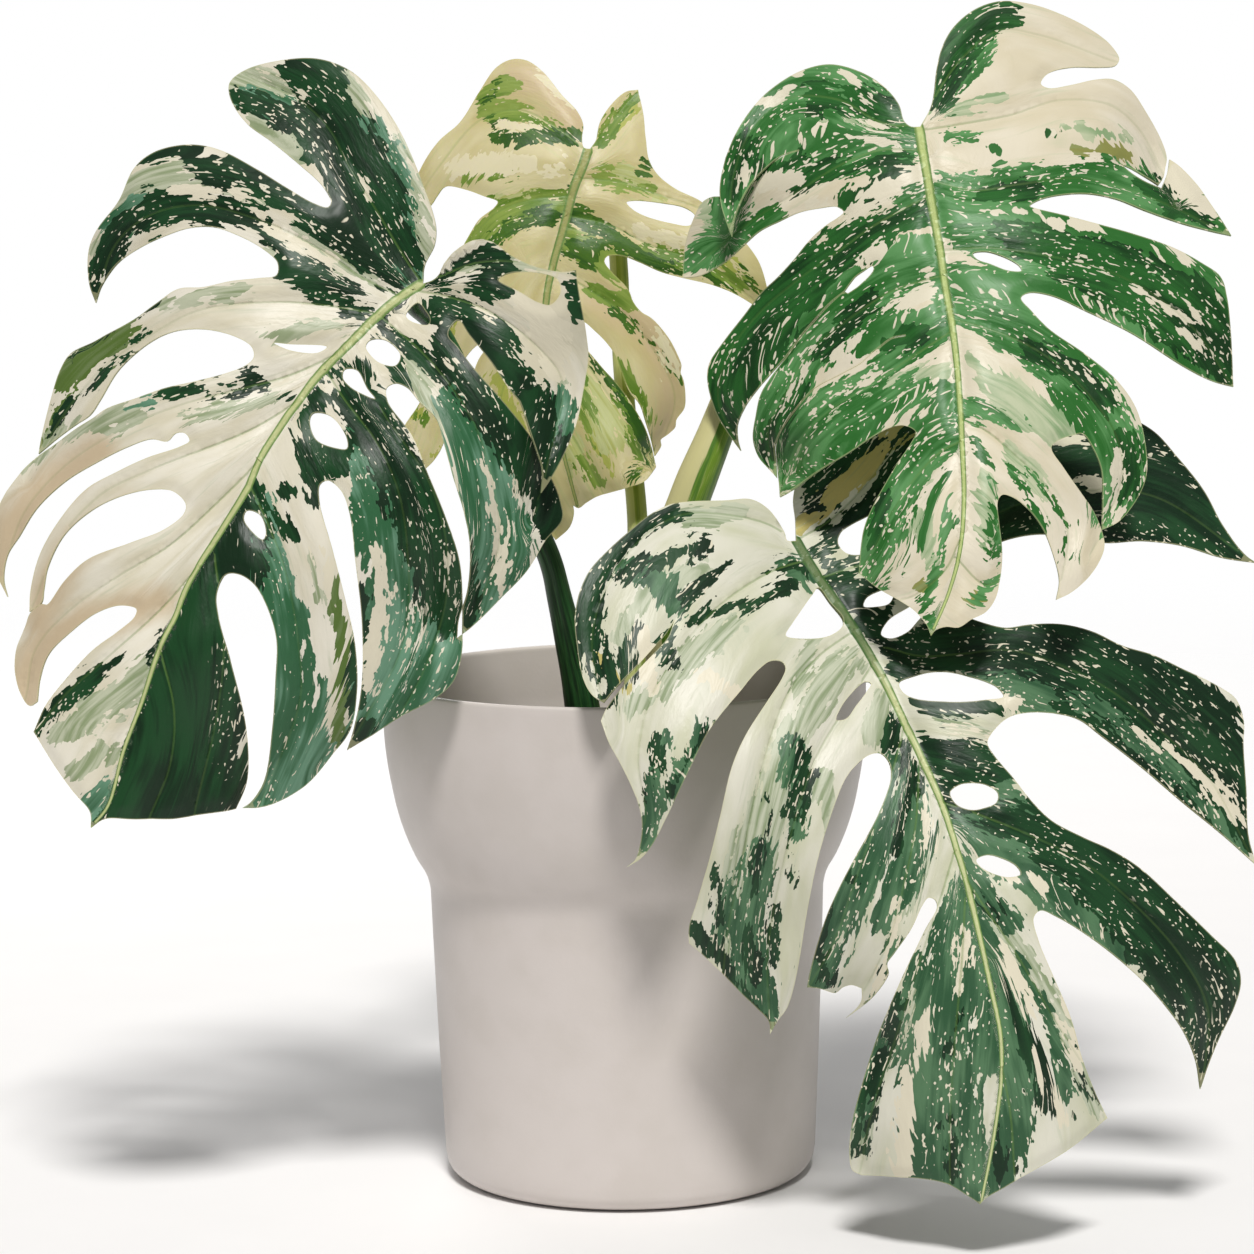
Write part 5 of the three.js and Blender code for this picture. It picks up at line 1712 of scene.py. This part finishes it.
LEAF_C = LeafDrawing(
    name="blade_right",
    node="leaf_c",
    slot="blade_dark",
    outline=(
        "920,127 911,127 904,121 899,106 882,87 858,73 830,66.5 800,73 770,91 750,112 735,136 726,158",
        "800,152",
        "790,155 772,165 757,177 742,189 724,196 712,197 703,203 694,222 687,242 684,262 683,278",
        """700,276 720,266 740,250 760,232 780,222 800,213 822,209 838,208 845,213 840,218 828,226
    812,240 795,260 778,278 762,293 745,315 724,342 710,364 708,380 715,410 726,430 741,451""",
        "738,440 738,425 747,407 760,389 770,377 786,358 802,336 816,320 832,303 846,292",
        "852,284 857,278 864,273 874,267 875,270 872,275 866,281 858,288 849,294",
        """846.5,292.5 832.5,303.5 816.5,320.5 802.5,336.5 786.5,358.5 772,378 762,395 757,415 754,438
    759,456 768,468 777,478""",
        """776,462 775,447 779,436 786,424 796,411 808,397 820,387 835,379 850,371 862,364 873,354
    882,347 893,339 906,336""",
        """906,336.5 893,339.5 882,347.5 873,354.5 862,364.5 850,371.5 835,379.5 820,387.5 808,397.5
    796,411.5 786.5,424 779.5,436 776.5,448 777.5,462 780,497""",
        """797,488 825,470 850,455 872,440 890,430 905,427 917,433 912,444 899,463 885,486 873,508
    865,528 861,550 859,573""",
        "878,588 900,601 915,611 926,624 931,636",
        """936,630 946,627 958,628 970,620 985,612 995,598 1000,578 1001,555 997,522 996,503 1001,496
    1013,499 1028,511 1042,530 1053,556 1059,580 1056,600""",
        """1070,593 1085,580 1098,563 1104,545 1097,520 1082,497 1062,468 1050,448 1058,441 1070,437
    1081,435 1092,450 1100,470 1102,500 1102,530""",
        """1118,522 1133,504 1144,480 1145,455 1135,412 1116,383 1085,356 1048,330 1030,312 1020,300
    1028,295 1050,298 1085,314 1130,336 1180,367 1210,381 1233,387""",
        """1231,355 1228,325 1224,298 1218,279 1200,266 1170,250 1130,236 1090,225 1055,216 1036,211
    1029,208 1040,201 1062,196 1088,195 1115,200 1145,212 1180,224 1208,231 1231,236""",
        "1222,222 1208,203 1192,182 1178,167 1169,160",
        "1167,174 1161,189",
        "1146,183 1132,175 1119,165",
        "1132,171 1146,179 1158,186",
        """1163,178 1165,168 1166,158 1160,140 1145,113 1129,91 1113,81 1095,81 1070,86 1048,89 1040,85
    1046,76 1070,69 1100,68 1115,66 1119,60 1110,46 1090,31 1060,16 1030,6 1000,3 975,11 954,28 942,48
    936,72 934,92 930,109 920,127""",
    ),
    flaps=(
        Flap(20.0, (
            "726,158",
            "721,180 720,195 723,212 732,237",
            "735,218 742,201 752,185 766,171 784,157 800,152",
        )),
    ),
    holes=(
        "973,254 985,252 1000,256 1018,266 1021,272 1008,272 990,265 977,260",
    ),
    midrib="""919,128 926,170 932,205 940,250 946,290 953,330 958,375 961,420 963,460 964,500 960,550
    948,595 931,635""",
    depths="""919,128,18 930,190,34 946,290,56 958,375,76 963,460,94 960,550,108 931,636,114 870,100,6
    830,68,-10 780,100,-8 735,140,-2 850,160,20 770,200,8 720,235,-4 684,276,-8 850,240,34 780,300,24
    720,370,16 740,448,22 880,300,50 810,370,42 765,440,34 777,476,38 900,380,68 820,430,62 780,495,62
    900,470,84 870,540,92 861,570,90 900,590,104 1000,460,92 1050,510,94 1095,550,92 1057,598,100
    1000,560,104 1040,380,74 1110,430,74 1143,470,72 1103,528,82 1040,260,50 1120,300,44 1200,300,28
    1225,280,20 1233,386,26 1060,180,22 1150,200,8 1229,234,-2 1020,120,6 1110,110,-10 1160,170,-14
    960,60,-6 1000,5,-26 1080,40,-28 1118,62,-30""",
    left_veins=(
        "917,127 880,122 840,100 790,98 755,125 735,170 728,232",
        "922,150 880,150 840,165 800,190 750,222 684,276",
        "930,195 905,208 870,228 840,250 800,278 760,312 728,355 718,400 740,448",
        "944,275 925,280 890,292 850,318 810,352 785,395 768,430 777,474",
        "953,330 930,345 900,365 870,385 830,410 800,440 781,492",
        "963,440 940,452 915,478 892,512 876,545 860,570",
        "960,540 945,570 915,595 900,600",
    ),
    right_veins=(
        "920,128 942,85 965,55 1000,30 1040,35 1116,62",
        "922,130 960,124 1010,115 1060,100 1110,105 1140,130 1164,176",
        "930,180 975,190 1020,184 1080,178 1130,190 1180,210 1230,236",
        "942,250 990,248 1050,256 1100,268 1150,292 1195,330 1232,386",
        "957,320 1000,333 1040,352 1085,390 1118,440 1122,480 1103,528",
        "962,420 985,430 1015,455 1045,485 1068,530 1058,596",
        "958,560 985,585 1000,580",
    ),
    marks={
        Tone.GOLD: "R:1070,156,3 1100,152,5 1126,158,4/R:1206,224,6 1230,234,5/L:925,590,5/R:975,600,5",
        Tone.SAGE: """L:944,372,8 905,380,9 865,398,10 825,425,9 795,452,7/L:850,124,6
    898,130,7/L:704,196,7 712,228,7/L:892,262,12 936,245,10/R:975,360,9 1000,390,17 1035,420,19
    1070,440,11/R:1100,180,4 1150,192,4/L:905,500,6 930,480,6/R:1010,450,8 1042,492,8/L:925,520,8
    930,560,8/L:880,400,6 840,420,6/R:985,480,8 985,540,8/L:800,120,5 850,112,5/R:945,110,4
    1000,100,4/R:1060,130,4 1120,140,4""",
        # Partly painted sheen: some mid-green strokes lie where the blade shows a teal sheen, by the midrib
        # and on the right lobes.
        Tone.MID: """L:952,322,5 905,358,8 865,382,9 825,408,9 788,446,8/L:905,108,9 872,92,24 835,90,27
    790,105,30 757,135,30 738,170,22 730,212,10/L:912,142,12 880,146,18 840,150,20
    800,160,14/L:770,215,10 740,230,13 712,250,14 694,264,8/L:912,274,10 880,286,18 840,312,22 810,348,22
    784,392,20 767,425,16 772,458,10/L:945,240,8 915,256,12 885,268,12/L:945,300,8 925,345,10
    895,360,10/L:940,284,-2 912,302,0 880,324,0 852,346,-1/L:930,312,-3 900,330,-2
    868,352,-2/L:915,395,12 880,415,17 850,436,19 820,456,18 786,482,12/L:956,395,10 946,432,15
    914,462,20 890,498,22 872,535,20 860,575,16/L:935,600,-2 930,628,0/R:975,600,0
    990,580,-1/L:948,470,-4 925,520,-3 905,575,-3/L:953,500,-4 940,560,-3 925,610,-2/L:930,480,-3
    905,540,-3 885,590,-3/R:945,192,12 985,198,17 1030,192,15 1085,184,14 1130,188,16 1165,202,16
    1200,217,14 1228,233,7/R:948,215,20 1000,230,36 1060,256,48 1120,290,60 1180,330,70
    1225,362,50/R:958,290,22 1000,308,28 1040,338,27 1084,376,36 1118,418,40 1134,470,36
    1120,514,24/R:972,408,2 1000,418,2 1020,433,0/R:1010,470,-4 1036,510,-3 1050,560,-3/R:1030,470,-4
    1066,522,-2 1070,560,-3/R:972,440,-4 990,500,-4 985,560,-3/R:985,470,-4 1000,530,-3
    995,580,-3/R:1060,450,-4 1090,490,-2/R:955,85,6 970,70,7 985,45,6/R:950,140,1 986,148,1
    1000,160,1/L:945,270,10 940,310,8/L:910,205,8 935,190,7/R:985,540,-3 1000,575,-3""",
        Tone.DARK: """L:740,150,13 728,190,9/L:890,110,6 860,100,9 820,100,10/L:905,165,4 870,165,7
    830,172,7 795,186,6/L:850,207,5 873,203,6/L:927,212,6 900,222,9 860,240,15 830,260,19 800,287,22
    770,322,26 745,356,26 728,386,20 725,416,14 735,442,7/L:870,303,5 845,330,7 828,352,6/L:890,345,5
    915,336,5/L:885,500,-1 872,540,1/L:765,172,5 786,168,6 806,166,4/L:800,390,5 780,425,6
    770,450,6/R:940,105,5 945,75,9 955,50,14 968,30,15 985,18,15 1004,12,10/R:990,196,5
    1030,188,5/R:1140,186,5 1165,196,6/R:1000,232,8 1040,246,14 1085,270,24 1130,290,28 1175,312,32
    1205,336,28 1222,366,16/R:1030,350,5 1070,372,6 1106,402,6/R:1049,137,1/R:1130,440,6
    1126,490,6/R:1163,205,3 1206,214,3""",
        Tone.PALE: """L:757,186,5 776,182,7 800,180,6/L:850,140,2 875,140,3 896,146,3/L:735,196,2
    750,170,3/L:764,102,3 771,102,3/L:917,176,7 890,190,8 865,209,7 840,216,6 812,206,5/L:860,262,5
    882,250,5/L:815,342,2 798,380,3 788,402,3/L:880,372,0 845,392,1 812,414,0/L:905,300,8
    932,290,7/R:992,217,3 1032,216,3/R:1052,226,3 1100,229,3/R:1130,291,2 1141,291,2/R:1152,300,3
    1170,312,4 1192,320,5/R:1055,360,2 1076,372,3 1102,388,3/R:1122,455,3 1120,490,5
    1112,516,5/R:1114,388,3 1137,417,5/R:1172,176,6 1190,194,8 1208,211,6/L:868,336,3
    838,362,4/L:840,68,1 850,80,3 870,100,2/L:800,76,2 780,100,2/R:962,340,3 1000,372,3/L:858,120,2
    880,130,3/R:1180,330,3 1205,350,3/R:1150,240,2 1190,262,3""",
    },
    skin=BladeSkin("leaf blade, half variegated, yellower green",
                   cream="e6dec9", cream_low="d8ceb2", gold="8f9150", sage="c0c8a6",
                   sage_low="8ba77a", mid="2c6a2a", mid_sheen="5c9458", dark="123a16",
                   dark_sheen="286428", rib="c0cf86", knee=3.4, speck_share=0.8),
)

LEAF_D = LeafDrawing(
    name="blade_front",
    node="leaf_d",
    slot="blade_dark",
    outline=(
        """796,541 787,541 784,532 768,510 750,500 725,501 690,502 670,505 650,515 630,531 610,549
    590,571 580,592 575,618 577,645 583,678 592,695 604,703""",
        "614,691 626,679 641,663 655,647 665,636 674,622",
        "668,638 658,650 643,666 627,684 614,699 606,710 601,721",
        "608,740 620,762 632,787 639,806 642,825 640,845 635,860 627,867",
        """641,858 652,845 666,818 682,784 697,753 709,731 725,710 741,691 748,682 757,672 769,663
    781,663 785,669 781,680 768,700 744,738 731,768 721,810 710,855 696,903 689,925 689,941""",
        "700,951 718,969 738,989 756,1007 769,1022 770,1034",
        """778,1020 787,1007 794,985 800,955 808,908 817,862 828,822 844,780 856,765 868,756 880,754
    889,763 891,777 885,798 871,829 852,863 838,890 827,915 818,942 811,967 807,987""",
        "820,988 836,991 843,986 852,984 862,988",
        "862,1000 856,1009 846,1018",
        """860,1008 872,998 885,982 889,973 887,964 894,954 912,928 922,906 928,898 935,900 937,907
    925,930 906,970 892,1003 880,1033 865,1078 853,1122 850,1155 853,1170 862,1175""",
        "890,1175 920,1177 948,1184 966,1194 980,1204",
        "986,1198 1018,1179 1060,1152 1090,1131 1107,1118",
        """1095,1093 1083,1062 1070,1018 1053,978 1037,940 1032,918 1038,911 1055,918 1080,933 1110,955
    1140,981 1162,1005 1182,1032 1195,1060 1200,1089""",
        """1207,1068 1217,1042 1233,1005 1238,980 1232,960 1208,935 1175,903 1138,869 1110,851 1080,837
    1050,821 1028,800 1012,780 992,756 986,744 992,732 1006,719 1025,714 1055,715 1077,721 1100,738
    1135,765 1180,803 1225,838 1256,865""",
        """1248,835 1245,790 1241,745 1241,722 1233,700 1215,687 1180,670 1150,656 1120,647 1090,633
    1060,626 1030,626 1005,629 984,625 960,618 940,614 923,619 908,633 890,639 881,635 888,622 908,610
    930,598 960,570 985,552 1005,542 1040,536 1075,541 1105,545 1140,543 1180,547 1220,558 1256,563""",
        """1245,555 1222,525 1203,492 1175,458 1150,432 1110,413 1080,408 1040,415 1000,435 965,465
    935,500 910,525 885,545 862,555 846,554 838,545 841,533 852,525 866,518 890,505 915,488 935,462
    945,435 948,408""",
        "915,400 880,410 845,432 815,458 797,480 792,500 795,522 796,541",
    ),
    flaps=(),
    holes=(
        "863,608 866,600 876,594 888,591 893,597 889,606 876,609",
        """899,684 912,678 930,673 950,673 970,678 985,683 996,689 1002,698 985,701 965,703 945,703
    915,700 903,693""",
        "950,793 958,786 970,784 985,786 997,794 996,803 985,808 970,810 957,805",
        "976,860 986,856 1000,859 1015,867 1019,875 1008,878 992,874 979,866",
        "818,588 830,603 843,619 842,627 830,636 808,640 784,638 790,627 802,610 812,596",
        "836,720 840,709 850,695 865,682 871,684 866,693 856,706 846,719",
    ),
    midrib="""796,541 808,562 825,588 845,616 865,648 885,683 902,718 920,755 941,803 953,838 967,885
    979,935 990,985 1000,1035 1001,1075 993,1140 981,1203""",
    depths="""796,541,56 835,602,74 875,665,88 912,738,102 941,803,114 967,885,126 990,985,136
    1001,1075,142 981,1203,142 740,502,58 650,530,74 590,600,94 578,650,102 598,700,112 740,600,86
    680,640,102 640,690,114 606,728,118 650,770,126 627,866,120 710,718,118 800,690,104 760,760,122
    715,850,124 690,938,114 770,1030,108 800,930,116 845,880,124 808,985,112 848,1015,108 890,920,128
    900,1010,132 858,1110,124 853,1172,116 1060,1060,134 1106,1118,122 1040,850,116 1130,900,104
    1225,970,88 1200,1087,92 960,656,90 1050,660,82 1150,710,72 1240,740,62 1254,862,70 1150,770,76
    850,570,64 950,560,56 1050,470,40 1150,470,30 1250,561,34 850,480,44 800,490,46 905,440,34 946,410,28""",
    left_veins=(
        "793,541 770,525 730,515 680,515 640,540 605,590 592,640 601,700",
        "805,560 770,572 720,605 680,650 650,700 638,760 645,820 628,866",
        "855,630 820,655 790,690 770,740 755,800 740,870 728,930 722,985",
        "875,660 850,700 815,760 795,820 780,880 768,950 770,1030",
        "905,725 890,780 870,840 852,890 835,940 810,985",
        "920,760 915,830 905,880 892,930 875,970 850,1015",
        "955,850 940,900 920,960 895,1040 872,1110 860,1172",
        "965,900 962,960 955,1040 950,1120 950,1195",
    ),
    right_veins=(
        "797,540 830,520 870,480 900,440 944,410",
        "820,578 850,568 900,555 960,530 1050,495 1150,495 1254,562",
        "888,648 920,656 960,654 1010,650 1060,665 1110,690 1160,730 1210,780 1254,862",
        "935,800 980,815 1030,835 1080,860 1130,900 1180,955 1208,1010 1202,1085",
        "960,870 990,915 1020,960 1055,1020 1085,1070 1104,1118",
        "985,1000 1000,1060 1010,1110 1015,1180",
    ),
    marks={
        Tone.GOLD: "R:800,528,8 830,500,12 865,465,12 900,430,10/L:628,690,5 600,660,4",
        Tone.SAGE: """L:690,520,11 735,512,10/L:660,590,11 700,575,9/L:735,625,9 700,650,13 660,690,11
    632,710,7/L:850,660,11 820,690,13 800,732,15 780,782,19 760,832,21 740,890,21 730,940,17
    760,990,8/L:900,760,8 925,860,8 902,912,8/L:880,1040,13 865,1100,13 860,1150,9/R:985,915,6 1020,955,8
    1052,998,10 1078,1050,11 1095,1104,11/R:1030,888,-1 1090,930,-1/R:1003,693,6 1040,700,7
    1066,706,5/L:640,600,8 625,640,7/L:885,700,8 870,740,8/R:1150,740,4 1200,780,5/L:820,780,10
    840,850,10/L:935,960,6 915,1040,8/R:940,720,5 985,735,6/L:868,770,6 850,830,7 835,890,7/L:812,640,8
    796,690,8""",
        Tone.MID: """L:972,880,6 978,940,12 988,1000,14 996,1060,14/R:985,845,14 1035,875,17 1080,912,19
    1112,950,14/R:962,868,8 985,900,9 1008,922,6/L:634,572,8 655,585,9 675,600,6/L:790,566,3
    806,580,4/L:708,725,-1 685,766,1 661,803,1 648,846,0/L:665,737,-1 652,790,1 643,840,1/L:700,760,-1
    672,800,0/L:886,765,9 880,820,13 865,865,17 845,902,17 830,942,15 818,976,11/L:910,780,6 918,835,12
    905,880,13 880,922,8/L:898,950,4 880,1000,6 868,1060,5 860,1120,5/L:915,960,-1 902,1010,-1
    896,1060,-2/L:965,890,9 955,940,18 945,990,24 938,1040,28 940,1100,34 945,1160,36
    965,1195,26/R:980,930,6 998,965,10 1008,1020,14 1014,1080,15 1008,1140,15 1000,1180,12/R:1000,815,20
    1040,845,20 1080,880,14/R:1000,665,28 1060,690,30 1120,730,34 1180,780,34 1225,830,20/L:765,850,5
    752,900,11 748,960,13 765,1010,8/R:955,800,14 986,835,14/R:1150,900,12 1190,960,12/R:960,760,10
    1000,775,10/R:1040,985,0 1056,1040,1 1066,1090,1/R:1020,960,-1 1034,1000,-1/R:1060,960,-2
    1080,1010,-2/L:785,745,4 800,790,6 798,830,3/L:740,865,1 722,935,2""",
        Tone.DARK: """R:822,558,5 842,580,9 862,604,10 880,632,7/L:684,517,1 666,519,3 643,526,5
    620,540,8 601,568,10 590,600,11 585,640,9 590,676,5/L:588,583,2 630,572,3 665,560,4
    703,549,2/L:602,711,-1 620,683,1 643,660,2 666,637,1/L:615,674,0 634,641,1 652,623,0/L:600,640,1
    612,668,1/L:675,625,0 698,591,1 724,568,-1/L:675,630,0 712,614,1 754,604,1 791,586,0/L:662,642,-1
    680,672,-1/L:768,572,-1 791,563,0 811,570,0/L:785,588,-1 770,600,-1/L:660,742,-2
    648,800,-2/L:702,735,-2 672,790,-2/L:800,742,1 803,775,3 795,815,1/L:791,830,-3
    790,875,-3/L:768,800,-2 758,850,-1 754,890,-2/L:692,925,1 708,940,3 726,968,2 752,1004,1
    770,1026,2/L:722,870,-2 718,920,-1/L:748,930,1 756,975,2/L:775,905,-3 772,960,-3/L:888,740,3
    894,722,4/L:822,900,2 816,950,4 826,976,2/L:852,880,0/L:870,800,-1 850,850,-1/L:905,800,-1
    895,850,-1/L:900,1000,-1 884,1060,0 870,1102,0 862,1150,1/L:905,940,-1 880,1000,-1
    868,1040,-1/L:962,1010,-2 950,1050,-2/L:950,1120,0 955,1170,2/R:1000,985,-1 1025,1040,0 1045,1080,0
    1060,1112,0/R:995,1130,-1 1003,1170,0/R:1056,930,-1 1072,975,0 1090,1030,1 1100,1088,1/R:1028,1050,-1
    1042,1108,0/R:1075,1050,-2 1084,1098,-1/R:950,790,12 985,808,12 1040,832,20 1090,868,30 1140,912,38
    1185,960,42 1210,1010,36 1203,1066,16/R:975,890,-2 1000,915,-1/R:900,655,15 950,648,22 1000,645,24
    1050,650,28 1100,662,30 1150,690,34 1200,730,34 1230,780,24 1248,840,12/R:1060,706,4 1110,745,5
    1150,785,7 1200,830,8 1230,860,6/R:925,700,10 960,706,8 995,704,6/R:925,752,12 960,764,18
    990,772,12/R:870,560,16 920,540,30 980,500,48 1060,480,56 1140,490,60 1200,520,44
    1245,555,14/R:860,590,9 882,602,7/R:812,500,7 822,480,7 846,455,7 870,440,6/R:850,520,6 876,500,6
    896,470,6 916,440,7 926,420,5/R:830,535,6/L:905,745,3 915,790,2/R:925,690,7 905,670,6/R:860,700,1""",
        Tone.PALE: """L:930,1010,5 918,1060,6 908,1110,7 905,1170,6/L:965,930,3 958,990,5/L:900,900,3
    880,1000,4/R:945,730,3 975,735,4 990,740,4/R:1165,746,4 1190,766,6 1215,792,8 1238,824,6/R:1052,444,4
    1084,447,4/R:1080,485,3 1100,488,3/R:1188,489,2 1199,489,2/R:1030,1050,3 1058,1120,4/L:640,640,8
    655,690,6/L:700,680,6 740,700,5/L:860,820,3 850,850,3/R:1040,655,2 1090,672,2/R:1000,872,3
    1040,888,3/L:925,800,2 935,850,3/R:1000,950,6 1030,1010,8/R:1060,1000,4 1080,1060,5/R:990,700,4
    1010,706,4/L:840,800,3 836,860,4/R:1020,700,3/R:1130,730,2 1160,750,3""",
    },
    skin=BladeSkin("leaf blade, half variegated, deep green",
                   cream="dedccc", cream_low="c9caae", gold="c4b66f", sage="c3c8b0",
                   sage_low="8d9c78", mid="2f5638", mid_sheen="557b58", dark="0e2a16",
                   dark_sheen="1c4424", rib="cdd39c", rib_root="2c5726", speck_share=0.6),
)


@dataclass
class Plant:
    """Stem, stalks and blades, grown as one plant."""

    drawings: tuple[LeafDrawing, ...] = (LEAF_A, LEAF_B, LEAF_C, LEAF_D)
    blades: dict[str, Blade] = field(default_factory=dict)

    def petioles(self) -> list[Petiole]:
        """The four stalks, each with its own skin.

        Returns:
            The stalks, from the left leaf's to the front leaf's.
        """
        blade = self.blades
        return [
            Petiole("stalk_left", "petiole_a", blade["leaf_a"], (-15, -6), 6.6,
                    (4.6, 4.2, 3.8, 3.2),
                    "580,692,14 569,640,18 560,600,20 549,557,22 512,480,22 474,400,22 442,334,22",
                    (411, 293), "petiole_green",
                    PetioleSkin("petiole, dark green, smooth", "2f6333", "123018", "5d8a45"),
                    1.25),
            Petiole("stalk_back", "petiole_b", blade["leaf_b"], (4, 17), 6.0,
                    (4.2, 4.0, 3.8, 3.2),
                    "641,640,-36 639,560,-58 636,500,-76 627,420,-94 621,340,-107 619,270,-116"
                    " 612,210,-121",
                    (586, 159), "petiole_pale",
                    PetioleSkin("petiole, yellow green, smooth", "aab850", "829636", "d3d694",
                                0.7, 0.3)),
            Petiole("stalk_right", "petiole_c", blade["leaf_c"], (20, 8), 8.0,
                    (8.6, 8.0, 6.0, 5.0, 4.2, 3.3),
                    "664,580,6 689,500,8 713,440,4 752,345,-8 790,302,-10 838,255,-12"
                    " 884,205,-10",
                    (921, 140), "petiole_pale",
                    PetioleSkin("petiole, green and cream, smooth", "74962f", "4f7a26", "d8cf98",
                                0.9, 0.12)),
            Petiole("stalk_front", "petiole_d", blade["leaf_d"], (9, -15), 6.0,
                    (4.8, 4.4, 4.0, 3.3),
                    "668,662,26 700,632,32 738,600,34 768,574,34",
                    (803, 554), "petiole_green",
                    PetioleSkin("petiole, mid green, smooth", "3b6b35", "1b4320", "6f9650")),
        ]

    def build(self) -> None:
        """Builds the blades first, because the stalks reach up to them."""
        for drawing in self.drawings:
            self.blades[drawing.node] = Blade(drawing)
            self.blades[drawing.node].build()
        for petiole in self.petioles():
            petiole.build()
        Stem().build()


def main() -> None:
    """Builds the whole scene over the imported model."""
    logging.basicConfig(level=logging.INFO, format="%(name)s: %(message)s")
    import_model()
    VIEW.build_camera()
    Studio().build()
    Pot().build()
    Soil().build()
    Plant().build()


if __name__ == "__main__":
    main()
